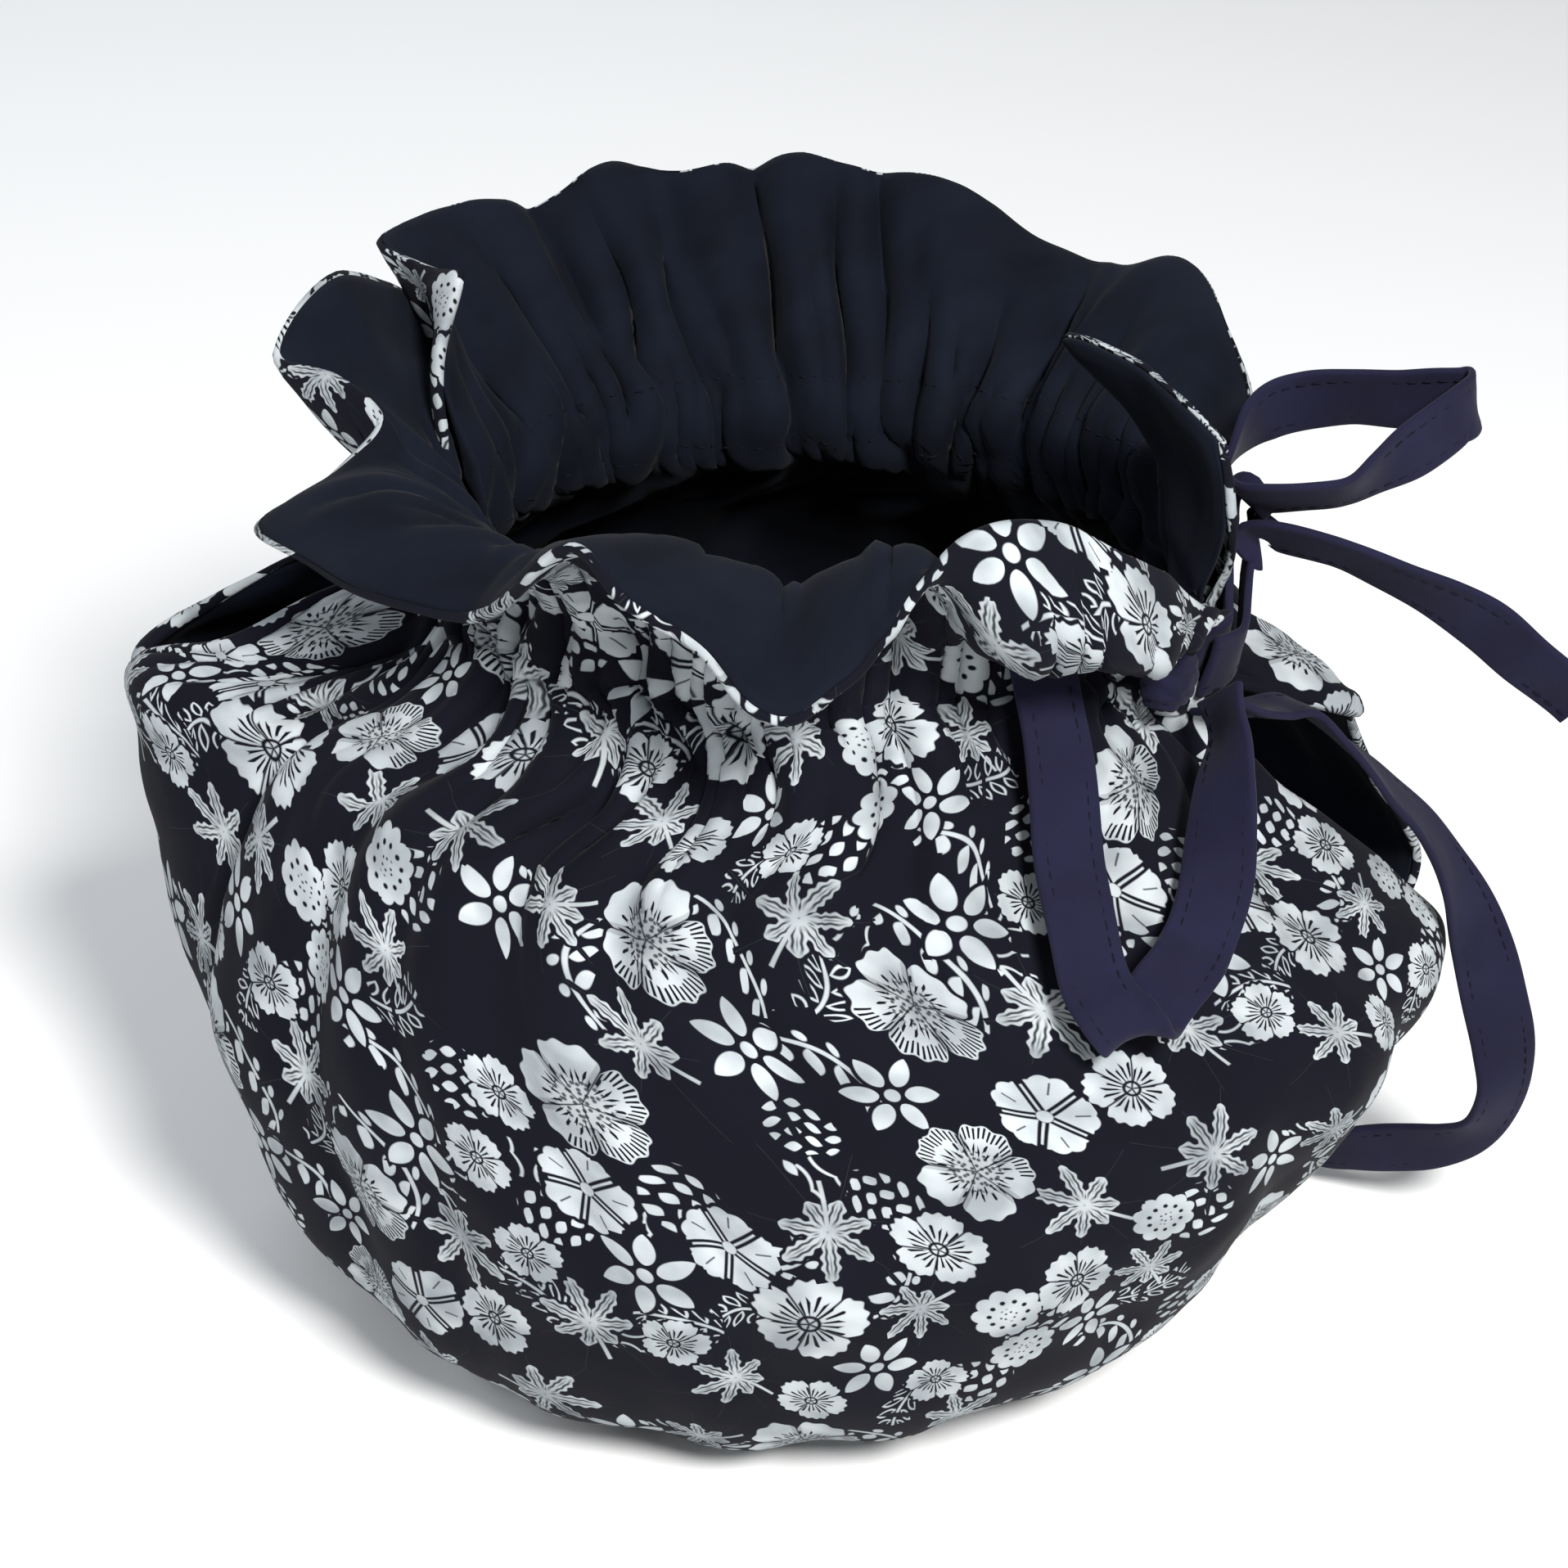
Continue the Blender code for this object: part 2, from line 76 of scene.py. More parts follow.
# %% Sizes of the cover, in millimetres
HEM_LIFT = 1.25             # the surface between the layers runs this far above the table
SEAM_GAP = 0.8              # between two panels where they are sewn edge to edge
CHANNEL = 11.0              # height of the elastic channel under the ruffle
CHANNEL_TAPER = 0.8
GATHER_SHARE = 0.8
SPOUT_SEAM = 176.0
SPOUT_SPREAD = 17.0
FLARE_SPREAD = 26.0
SHOULDER = 104.0
CHANNEL_TOP = 127.0
SAG_FROM = {"front": 60.0, "back": 90.0}
NECK_X, NECK_Y = -5.35, 0.0

BODY_COLUMNS = (
    "height", "half_width", "half_depth", "shift", "out", "spout_gap", "handle_deg", "handle_gap", "flare",
)
BODY = (
    (0, 46, 50, -7, 0, 0, 2, 0, 0),
    (0, 51, 55, -7, 0, 0, 2, 0, 0),
    (0, 56, 60, -7, 0, 0, 2, 0, 0),
    (5, 66.5, 71, -6, 0, 0, 2, 0, 0),
    (14, 77, 81.5, -5, 0, 0, 1, 0, 0),
    (27, 84.5, 88, -4, 0, 0, 0, 0, 0),
    (42, 91.5, 92, -1, 0, 0, 0, 3, 0),
    (58, 98, 92.5, 0.5, 2.5, 0, -1, 7, 0),
    (73, 92, 90, -2, 8.5, 0, -3, 8.5, 0),
    (86, 84.5, 84, -4, 16, 0, -7, 8, 5),
    (96, 76.5, 76, -4, 24.5, 0.3, -11, 6.5, 12),
    (104, 68, 66, -1.5, 25, 8, -14, 4.5, 18.5),
    (110.5, 60.5, 58, -0.5, 18, 8.5, -16, 3, 10),
)

RUFFLE_COLUMNS = (
    "foot_deg", "foot_r", "foot_z", "mid_deg", "mid_r", "mid_z", "hem_deg", "hem_r", "hem_z",
)
BACK_RUFFLE = (
    (-16.6, 60.5, 117, -20, 64.5, 131, -19, 62, 143.5),
    (-11, 57, 121.5, -12, 57, 136.5, -9, 49.5, 149),
    (-3, 55.5, 125.5, 1, 47.5, 140.5, 12, 38.5, 149),
    (6, 56, 127, 4, 55, 133, 5.5, 52.6, 139),
    (15, 56, 127, 9, 62.5, 131.5, 2, 65.5, 134),
    (24, 55.5, 127, 23, 65, 138.5, 23, 70.5, 143.5),
    (34, 54.5, 127, 33, 62, 141, 35, 73.5, 149.5),
    (44, 53.5, 127, 44, 60.5, 140.5, 45, 70, 146),
    (55, 52.5, 127, 56, 62, 140, 57.5, 71, 147),
    (66, 52, 127, 68, 60.5, 143, 69.5, 71, 154.5),
    (78, 51.5, 127, 80, 62.5, 142, 81.5, 71, 156),
    (90, 51.5, 127, 91, 60.5, 144, 93, 74, 157.5),
    (102, 52, 127, 104, 63.5, 142.5, 105, 73, 156),
    (113, 52.5, 127, 114, 62, 143, 115.5, 78, 156.5),
    (124, 53, 127, 124, 65.5, 140.5, 124.5, 77, 152.5),
    (135, 53.5, 127, 134, 65, 142, 134, 80, 155),
    (147, 54, 127, 147, 66.5, 140.5, 146, 82, 152.5),
    (160, 54, 127, 156, 60.5, 141, 150, 70, 151.5),
    (175.6, 52.6, 127, 167.5, 58, 141, 154, 59, 153),
)
FRONT_RUFFLE = (
    (176.4, 55.6, 127, 148, 69, 137, 142, 76, 140.5),
    (181, 54.3, 127, 172, 67, 141.5, 164, 75, 154.5),
    (186, 54.6, 127, 181, 70.5, 139, 176.5, 79.5, 148),
    (191, 55, 127, 187.3, 64.8, 138.2, 183.5, 69, 147),
    (196, 55, 127, 193, 60.2, 137, 189.6, 63.6, 142.5),
    (201.5, 55, 127, 197.5, 62.5, 136.5, 193, 71, 137),
    (207.5, 55, 127, 202.5, 67, 138, 196, 83.5, 131.8),
    (214, 54.8, 127, 210.5, 66.5, 138, 206, 78.5, 130),
    (221, 54.5, 127, 219.5, 63, 137, 218, 74.5, 129.5),
    (228.5, 54, 127, 228, 60, 134.5, 227, 69.5, 129.5),
    (236, 53.2, 126.5, 236.5, 62, 139.5, 237, 73.5, 139.5),
    (243.5, 52.5, 126, 244.5, 63.5, 142.5, 245.5, 76.5, 148),
    (251, 52, 126, 251.5, 64.5, 144, 252, 80, 142.5),
    (258.5, 52, 126, 259, 64, 142, 259.5, 82, 138),
    (266, 52, 126, 266.5, 62.5, 137, 266.5, 84, 130),
    (273.5, 52, 126, 273, 62.5, 140.5, 272, 82, 134),
    (281, 52.3, 126, 279.5, 63, 144.5, 277, 77.5, 139.5),
    (289, 52.8, 126, 285.5, 66, 139.5, 281.5, 74.5, 146),
    (297.5, 53.4, 126, 291, 72, 132, 287.5, 73.5, 151),
    (306.5, 54.3, 125.5, 298.5, 74, 130.5, 296.5, 72, 149),
    (316, 55.4, 124.2, 305.5, 74, 127, 305.5, 70.5, 141.5),
    (325, 56.8, 121.8, 309.5, 72.5, 125, 316, 67.5, 133.5),
    (333.5, 58.8, 119.2, 314.5, 69.8, 124.5, 324, 67, 126.2),
    (341.6, 60.5, 117, 323, 68.5, 123.2, 331, 67.8, 122.2),
)
RUFFLES = {"front": FRONT_RUFFLE, "back": BACK_RUFFLE}

# Each crease from the neck: its angle, its depth, its spread in degrees, the height where it ends.
CREASES = (
    (-9, 1.8, 3.5, 80), (3, 2.6, 4, 62), (15, 2.2, 4, 70), (28, 3, 4.5, 55),
    (40, 2.4, 4, 66), (52, 3.2, 4.5, 50), (64, 2.4, 4, 64), (76, 3, 4, 52),
    (88, 2.2, 4, 68), (99, 3.2, 4.5, 50), (111, 2.4, 4, 60), (123, 3, 4.5, 54),
    (135, 2.4, 4, 66), (147, 3, 4.5, 48), (160, 2.4, 4, 60), (196, 5, 3.6, 34),
    (209, 2.4, 4, 62), (219, 3.6, 4.5, 40), (231, 2.6, 3.5, 66), (241, 3.8, 4.5, 42),
    (253, 2.4, 3.5, 72), (263, 2.8, 4, 58), (273, 2.2, 3.5, 70), (282, 3.8, 4.2, 44),
    (294, 2.6, 4, 62), (305, 3.6, 4.5, 46), (317, 2.4, 4, 66), (329, 3.2, 4, 56),
)
HEM_PUCKERS = 19
HEM_PUCKER_DEPTH = 1.3
PUCKERS_DEEPEST = 5.0
PUCKERS_TOP = 27.0
print(len(BODY), "rings,", len(FRONT_RUFFLE) + len(BACK_RUFFLE), "ruffle rows,", len(CREASES), "creases")

# %% [markdown]
# ## A smooth curve through the rows
# Cloth has no corners between one row of a table and the next. A cubic curve that passes exactly
# through the rows, and is led by the rows before and after, keeps every size in the tables true.


# %% Curves through table rows
def named(columns, row):
    return dict(zip(columns, row))


def through(a, b, c, d, t):
    """A smooth curve through b and c, at t from 0 to 1, led by the values before and after."""
    return b + 0.5 * t * (c - a + t * (2 * a - 5 * b + 4 * c - d + t * (3 * (b - c) + d - a)))


def between_rows(table, place):
    """The values of a table at a place between its rows."""
    last = len(table) - 1
    i = min(int(place), last - 1)
    rows = [table[min(max(i + step, 0), last)] for step in (-1, 0, 1, 2)]
    return [through(*values, place - i) for values in zip(*rows)]


def smooth(low, high, value):
    """0 below low, 1 above high, and a soft step between them."""
    share = min(max((value - low) / (high - low), 0.0), 1.0)
    return share * share * (3 - 2 * share)


print("half way along the first ring gap:", [round(v, 1) for v in between_rows(BODY, 3.5)[:3]])


# %% [markdown]
# ## One line of cloth, from the bottom hem to the ruffle's hem
# A panel is a fan of such lines. Each passes the rings of the bag, dives into its creases under the
# neck, climbs the elastic channel, and runs out along its own fold of the ruffle.


# %% The lines of the cloth
def on_circle(deg, radius, height):
    """A point at an angle, a radius from the neck's axis and a height, in metres."""
    angle = math.radians(deg)
    return Vector((
        (NECK_X + radius * math.cos(angle)) * MM,
        (NECK_Y + radius * math.sin(angle)) * MM,
        height * MM,
    ))


def angle_apart(a, b):
    return (a - b + 180.0) % 360.0 - 180.0


def crease_depth(deg, height):
    """How deep the creases from the neck are, in millimetres, at an angle and a height."""
    depth = 0.0
    for angle, deep, spread, ends_at in CREASES:
        off = angle_apart(deg, angle) / spread
        depth += deep * smooth(ends_at, SHOULDER, height) * math.exp(-off * off)
    return depth


def body_point(row, panel, share):
    """A point of the bag: a row of BODY, a panel, and how far across the panel it is, from 0 to 1."""
    ring = named(BODY_COLUMNS, row)
    if panel == "front":
        start, end = SPOUT_SEAM + ring["spout_gap"], 360.0 + ring["handle_deg"] - ring["handle_gap"]
    else:
        start, end = ring["handle_deg"] + ring["handle_gap"], SPOUT_SEAM - ring["spout_gap"]
    seam = math.degrees(0.5 * SEAM_GAP / ring["half_width"])
    deg = start + seam + (end - start - 2 * seam) * share
    angle = math.radians(deg)
    oval = 1.0 / math.hypot(math.cos(angle) / ring["half_width"], math.sin(angle) / ring["half_depth"])
    off = min(abs(angle_apart(deg, SPOUT_SEAM)) / SPOUT_SPREAD, 1.0)
    oval += ring["out"] * (1.0 - off * off)
    if panel == "back":
        off = min(abs(angle_apart(deg, start)) / FLARE_SPREAD, 1.0)
        oval += ring["flare"] * (1.0 - off) ** 2
    oval -= crease_depth(deg, ring["height"])
    rise = min(ring["height"] / PUCKERS_DEEPEST, 1.0)
    fall = max(1.0 - ring["height"] / PUCKERS_TOP, 0.0)
    oval += HEM_PUCKER_DEPTH * rise * fall * math.cos(HEM_PUCKERS * angle)
    point = on_circle(deg, oval, HEM_LIFT + ring["height"])
    point.x += ring["shift"] * MM
    return point


def cloth_line(panel, share):
    """The points that a line of the cloth passes, from the bottom hem up to the ruffle's hem."""
    ruffle = RUFFLES[panel]
    fold = named(RUFFLE_COLUMNS, between_rows(ruffle, share * (len(ruffle) - 1)))
    share_at_neck = (fold["foot_deg"] - ruffle[0][0]) / (ruffle[-1][0] - ruffle[0][0])
    points = []
    for ring in BODY:
        rise = ring[0] / BODY[-1][0]
        sag = (CHANNEL_TOP - fold["foot_z"]) * smooth(SAG_FROM[panel], BODY[-1][0], ring[0])
        point = body_point(ring, panel, share + (share_at_neck - share) * rise)
        points.append(point - Vector((0.0, 0.0, sag * MM)))
    tuck = GATHER_SHARE * crease_depth(fold["foot_deg"], SHOULDER)
    low_r = fold["foot_r"] + CHANNEL_TAPER - tuck
    points.append(on_circle(fold["foot_deg"], low_r, fold["foot_z"] - CHANNEL))
    points.append(on_circle(fold["foot_deg"], fold["foot_r"] - tuck, fold["foot_z"]))
    points.append(on_circle(fold["mid_deg"], fold["mid_r"], fold["mid_z"]))
    points.append(on_circle(fold["hem_deg"], fold["hem_r"], fold["hem_z"]))
    return points


CHANNEL_FOOT, CHANNEL_HEAD, RUFFLE_HEM = len(BODY), len(BODY) + 1, len(BODY) + 3
print("a line passes", len(cloth_line("front", 0.5)), "points")

# %% [markdown]
# ## The small folds that the tables leave out
# Elastic bunches cotton into narrow puffs about 5 mm apart, each a little different. They are
# strongest inside the channel, run a short way into the ruffle and the bag, and die out. Two rows of
# stitches press the cloth down above and below the elastic. The main folds of the ruffle and the
# soft troughs of the bag are placed one by one, where they are on the real cosy. Everywhere else the
# cloth is slightly uneven, as cotton is that was folded in a drawer.
#
# All of it is a height along the surface's normal. Folds, troughs and unevenness are shared by both
# layers. The puffs aren't: each layer puffs away from the other, so the two never cross.

# %% Fine relief, in millimetres
GATHERS = {"front": 37, "back": 33}           # puffs across a panel
GATHER_HEIGHT = 2.3
FOLDS = {"front": 17, "back": 15}             # the wider folds that the puffs gather into
FOLD_HEIGHT = 1.9
# The main folds of the ruffle: place between the panel's rows, depth, spread in rows, where it ends.
RUFFLE_FOLDS = {
    "front": (
        (4.4, 1.8, 0.25, 15.4), (7.4, 1.8, 0.25, 15.4), (12.6, 1.6, 0.25, 15.3),
        (15.5, 1.8, 0.22, 15.2), (18.4, 1.7, 0.25, 15.4),
    ),
    "back": (
        (9.3, 3.2, 0.2, 14.9), (9.9, 4.6, 0.16, 16.2), (10.4, 3.8, 0.2, 16), (11.4, 6.1, 0.2, 16.6),
        (12.55, 4.9, 0.38, 16.3), (13.5, 4.1, 0.18, 15.8), (14.1, 4.3, 0.2, 16.4),
        (15.05, 3.8, 0.2, 15.9), (16.1, 3.2, 0.24, 15.6), (8.4, 3.5, 0.22, 15.4),
        (7.3, 3.8, 0.22, 15.8), (6.2, 2.9, 0.2, 15.2),
    ),
}
# The bag's soft troughs: share of the panel, depth, spread as a share, lean from bottom to top.
BODY_TROUGHS = {
    "front": (
        (0.165, 2.2, 0.024, 0.01), (0.29, 3, 0.026, 0.02), (0.372, 2.2, 0.02, 0.012),
        (0.452, 1.6, 0.022, -0.008), (0.515, 2.4, 0.022, 0.004), (0.592, 3, 0.024, -0.012),
        (0.69, 2, 0.026, -0.014), (0.8, 2.6, 0.026, -0.018), (0.91, 1.8, 0.022, -0.01),
    ),
    "back": (
        (0.12, 2.2, 0.024, 0.012), (0.25, 2.6, 0.026, 0.01), (0.385, 2, 0.024, -0.006),
        (0.505, 2.8, 0.026, 0.004), (0.64, 2.2, 0.024, -0.01), (0.77, 2.6, 0.026, -0.012),
        (0.89, 2, 0.022, -0.01),
    ),
}
STITCH_ROWS = (CHANNEL_FOOT + 0.1, CHANNEL_HEAD - 0.06)
STITCH_DIP = 0.5
UNEVEN = ((30.0, 1.4), (13.0, 0.7), (6.0, 0.22))  # size and height of the unevenness
SEEDS = {"front": 3.0, "back": 17.0}
SLACK = 0.2                 # the share of the gathers that the lining keeps in its flaps by the slit
SLACK_ENDS = {"front": (0.93, 0.84), "back": (0.18, 0.30)}  # a flap ends between these shares
SIDES = {"print": 1.0, "lining": -0.85}       # each layer puffs away from the other


def pleats(count, share, stop, seed, drift, sharp):
    """Puffs side by side, round on top, with valleys at 0 between them, no two alike."""
    phase = share * count + drift * noise.noise(Vector((share * 17.0, seed, 0.3 * stop)))
    high = 0.85 + 1.1 * noise.noise(Vector((math.floor(phase) * 0.77 + 0.3, seed + 5.0, 0.22 * stop)))
    return high * abs(math.sin(math.pi * phase)) ** sharp


def gather_relief(panel, kind, share, stop):
    """Puffs that the elastic makes, and the wider folds that they gather into above and below it."""
    near = smooth(CHANNEL_FOOT - 2.2, CHANNEL_FOOT - 0.1, stop)
    near *= near * (1.0 - smooth(CHANNEL_HEAD - 0.1, CHANNEL_HEAD + 1.3, stop))
    far = smooth(CHANNEL_FOOT - 5.0, CHANNEL_FOOT - 0.5, stop)
    far *= 1.0 - 0.85 * smooth(CHANNEL_HEAD + 0.4, RUFFLE_HEM, stop)
    if kind == "lining":
        taut = SLACK + (1.0 - SLACK) * smooth(*SLACK_ENDS[panel], share)
        near *= taut
        far *= taut
    relief = 0.0
    if near > 0.01:
        puffs = pleats(GATHERS[panel], share, stop, SEEDS[panel], 1.7, 0.65)
        relief += SIDES[kind] * GATHER_HEIGHT * near * puffs
    if far > 0.01:
        relief += FOLD_HEIGHT * far * (pleats(FOLDS[panel], share, stop, SEEDS[panel] + 9.0, 1.9, 1.1) - 0.5)
    return relief


def placed_relief(panel, share, stop):
    """The folds that are placed one by one."""
    relief = 0.0
    if stop > CHANNEL_FOOT:
        place = share * (len(RUFFLES[panel]) - 1)
        foot = smooth(CHANNEL_FOOT + 0.2, CHANNEL_HEAD + 0.4, stop)
        for middle, depth, spread, end in RUFFLE_FOLDS[panel]:
            if abs(place - middle) < 4 * spread:
                drift = 0.35 * spread * math.sin(2.3 * stop + middle)
                deep = math.exp(-abs((place - middle - drift) / spread) ** 1.7)
                relief += depth * deep * foot * (1.0 - smooth(end - 1.1, end + 0.5, stop))
    elif stop > 3.0:
        here = smooth(3.2, 6.0, stop) * (1.0 - smooth(11.5, CHANNEL_FOOT, stop))
        for middle, depth, spread, lean in BODY_TROUGHS[panel]:
            off = share - middle - lean * (stop - 8.0) / 4.0
            if abs(off) < 3 * spread:
                relief -= depth * here * math.exp(-(off / spread) ** 2)
    return relief


def fine_relief(panel, kind, share, stop, point):
    """How far the cloth stands out of the tables' surface, in millimetres."""
    relief = gather_relief(panel, kind, share, stop) + placed_relief(panel, share, stop)
    for row in STITCH_ROWS:
        relief -= SIDES[kind] * STITCH_DIP * math.exp(-((stop - row) / 0.09) ** 2)
    calm = smooth(2.2, 4.0, stop)
    for size, height in UNEVEN:
        relief += calm * height * noise.noise(point / (size * MM))
    return relief


def hem_wander(share, panel):
    """How far the ruffle's hem falls short of its line, in stops: it is never quite straight."""
    return 0.05 + 0.05 * noise.noise(Vector((share * 26.0, SEEDS[panel], 2.0)))


puffs = [gather_relief("front", "print", step / 90, CHANNEL_FOOT + 0.5) for step in range(12)]
print("relief in the channel:", [round(puff, 2) for puff in puffs])


# %% [markdown]
# ## The surface between print and lining
# The two layers are cut alike and sewn at the edges, so they start from one surface. It is worked
# out once for each layer, as a net of points with the direction that the cloth faces at each.
# Columns are spread evenly over the shares of the panel, rows over the true length of the cloth.
# The lining's net ends a little short of the edges, so that the print can turn over it.

# %% A net of points
STOP_LENGTHS = (5, 5, 11, 14, 15, 17, 17, 17, 16, 14, 12, 10, 7, 11, 15, 15)  # from stop to stop, mm


def row_stops(pitch):
    """The rows of a net, as places between the points of a line, about pitch millimetres apart."""
    stops = [0.0]
    for i, length in enumerate(STOP_LENGTHS):
        steps = max(2, round(length / pitch))
        stops += [i + (k + 1) / steps for k in range(steps)]
    return stops


def facing(net, i, j):
    """The direction that a net faces at one of its points."""
    across = net[min(i + 1, len(net) - 1)][j] - net[max(i - 1, 0)][j]
    along = net[i][min(j + 1, len(net[i]) - 1)] - net[i][max(j - 1, 0)]
    return across.cross(along).normalized()


def cloth_net(panel, kind, columns, stops, inset=0.0):
    """Points and directions of a panel; inset keeps the sides and the front's hem short of the edge."""
    plain = []
    for i in range(columns + 1):
        share = inset + (1.0 - 2.0 * inset) * i / columns
        line = cloth_line(panel, share)
        end = hem_wander(share, panel) + (8 * inset if panel == "front" else 0.0)
        plain.append([
            Vector(between_rows(line, stop - end * max(stop - CHANNEL_HEAD, 0.0) / 2)) for stop in stops
        ])
        for point in plain[-1]:
            point.z = max(point.z, HEM_LIFT * MM)
    net = []
    for i, line in enumerate(plain):
        share = inset + (1.0 - 2.0 * inset) * i / columns
        net.append([
            point + facing(plain, i, j) * (fine_relief(panel, kind, share, stops[j], point) * MM)
            for j, point in enumerate(line)
        ])
    ways = [[facing(net, i, j) for j in range(len(stops))] for i in range(columns + 1)]
    return net, ways


PRINT_COLUMNS, PRINT_STOPS = 250, row_stops(1.3)
LINING_COLUMNS, LINING_STOPS = 235, row_stops(1.7)
NETS = {}
for panel in ("front", "back"):
    NETS[panel, "print"] = cloth_net(panel, "print", PRINT_COLUMNS, PRINT_STOPS)
    NETS[panel, "lining"] = cloth_net(panel, "lining", LINING_COLUMNS, LINING_STOPS, inset=0.0025)
for (panel, kind), (net, ways) in NETS.items():
    print(panel, kind, "net:", len(net), "x", len(net[0]), "points")

# %% [markdown]
# ## Cutting a layer of cloth
# A layer is a grid that is bent onto the net, a millimetre outside or inside it. The printed layer
# is cut a little larger, and its edge turns over the lining's edge in a small roll, here more and
# there less, so an uneven pale line of print shows on the dark side. The back's ruffle stands up,
# and its hem doesn't turn over. Solidify gives the cloth its thickness.
#
# The grid also gets its place on the flat cloth, in millimetres, as a UV map. The print and the
# weave are drawn there, so they follow every fold and don't swim through the cloth.

# %% Layers of cloth
CLOTH = 0.5 * MM
PRINT_OUT, PRINT_OUT_EDGE = 1.0 * MM, 0.7 * MM   # from the net to the middle of the printed layer
LINING_IN, LINING_IN_EDGE = 1.0 * MM, 0.35 * MM
# The roll at an edge: how far out and how far from the net each row of it is, as shares of the gap.
ROLL = ((0.55, 0.75), (0.85, 0.0), (0.55, -0.6), (-0.3, -0.95))
ROLL_FLAT = (-0.2, -0.25)    # where the last rows of the roll are on an edge that doesn't turn over
ROLL_STEP = 0.7              # cloth from one row of the roll to the next, in millimetres
BACK_HEM = ((0.02, 0.7), (0.04, 0.45), (0.06, 0.2), (0.08, -0.05))  # the back's hem, in place of the roll
EDGE_REACH = 4.0             # millimetres from an edge where the layers begin to draw together
PANEL_WIDTH = 240.0          # a panel's usual width, for measuring from its sides


def turned_over(panel, share, stop):
    """How far an edge turns over, from 0 to 1, unevenly along it."""
    along = Vector((share * 9.0, SEEDS[panel], stop))
    return smooth(-0.25, 0.35, noise.noise(along))


def gap_at(i, j, columns, stops, middle, edge):
    """The distance from the net to a layer: less at the sides above the bag and at the ruffle's hem."""
    side = min(i, columns - i) * PANEL_WIDTH / columns
    to_hem = (RUFFLE_HEM - stops[j]) * STOP_LENGTHS[-1]
    near = min(side, to_hem)
    return edge + (middle - edge) * smooth(0.0, EDGE_REACH, near)


def evened(values, reach):
    """A list with each value replaced by the mean of its neighbours."""
    sums = [0.0]
    for value in values:
        sums.append(sums[-1] + value)
    means = []
    for i in range(len(values)):
        low, high = max(i - reach, 0), min(i + reach + 1, len(values))
        means.append((sums[high] - sums[low]) / (high - low))
    return means


def flat_places(net, stops):
    """Where each point of a net lies on the flat cloth: millimetres from its middle line and the neck."""
    columns = len(net) - 1
    neck = min(range(len(stops)), key=lambda j: abs(stops[j] - CHANNEL_HEAD))
    widths, shares = [], []
    for j in range(len(stops)):
        run = [0.0]
        for i in range(columns):
            run.append(run[-1] + (net[i + 1][j] - net[i][j]).length / MM)
        widths.append(run[-1])
        shares.append([value / run[-1] - 0.5 for value in run])
    shares = list(zip(*(evened(column, 8) for column in zip(*shares))))
    widest = max(widths[:neck])
    full = evened([0.45 * widest + 0.55 * min(width, widest) for width in widths], 8)
    ups = []
    for line in net:
        up = [0.0]
        for a, b in zip(line, line[1:]):
            up.append(up[-1] + (b - a).length / MM)
        ups.append([value - up[neck] for value in up])
    ups = list(zip(*(evened(row, columns // 9) for row in zip(*ups))))
    return [[(shares[j][i] * full[j], ups[i][j]) for j in range(len(stops))] for i in range(columns + 1)]


def into_mesh(shape, name, flat=None):
    """A mesh from a bmesh; flat gives each vertex its place on the flat cloth, for the UV map."""
    if flat:
        on_cloth = shape.loops.layers.uv.new("cloth")
        for face in shape.faces:
            for loop in face.loops:
                loop[on_cloth].uv = flat[loop.vert]
    mesh = bpy.data.meshes.new(name)
    shape.to_mesh(mesh)
    shape.free()
    return mesh


def layer_mesh(name, panel, kind):
    """A bent grid for one layer, with the print's edges rolled over the lining."""
    net, ways = NETS[panel, kind]
    stops = PRINT_STOPS if kind == "print" else LINING_STOPS
    columns, rows = len(net) - 1, len(stops) - 1
    places = flat_places(net, stops)
    roll = len(ROLL) if kind == "print" else 0
    wide, tall = columns + 2 * roll, rows + roll
    shape = bmesh.new()
    bmesh.ops.create_grid(shape, x_segments=wide, y_segments=tall, size=0.5)
    flat = {}
    for vertex in shape.verts:
        i = round((vertex.co.x + 0.5) * wide) - roll
        j = round((vertex.co.y + 0.5) * tall)
        ci, cj = min(max(i, 0), columns), min(j, rows)
        point, way = net[ci][cj], ways[ci][cj]
        x, y = places[ci][cj]
        over_side, over_hem = abs(i - ci), j - cj
        if kind == "print":
            gap = gap_at(ci, cj, columns, stops, PRINT_OUT, PRINT_OUT_EDGE)
        else:
            gap = -gap_at(ci, cj, columns, stops, LINING_IN, LINING_IN_EDGE)
        if over_side or over_hem:
            out = Vector()
            if over_side:
                out += (net[ci][cj] - net[1 if ci == 0 else columns - 1][cj]).normalized()
            if over_hem:
                out += (net[ci][cj] - net[ci][rows - 1]).normalized()
            out = (out - out.dot(way) * way).normalized()
            step = max(over_side, over_hem)
            turn = Vector(ROLL[step - 1])
            if panel == "back" and over_hem:
                turn = Vector(BACK_HEM[step - 1])
            elif step > 2:
                turn = turn.lerp(Vector(ROLL_FLAT), 1.0 - turned_over(panel, ci / columns, stops[cj]))
            vertex.co = point + out * (turn[0] * gap) + way * (turn[1] * gap)
            x += math.copysign(over_side * ROLL_STEP, i - ci) if over_side else 0.0
            y += over_hem * ROLL_STEP
        else:
            vertex.co = point + way * gap
        flat[vertex] = (x, y)
    return into_mesh(shape, name, flat)


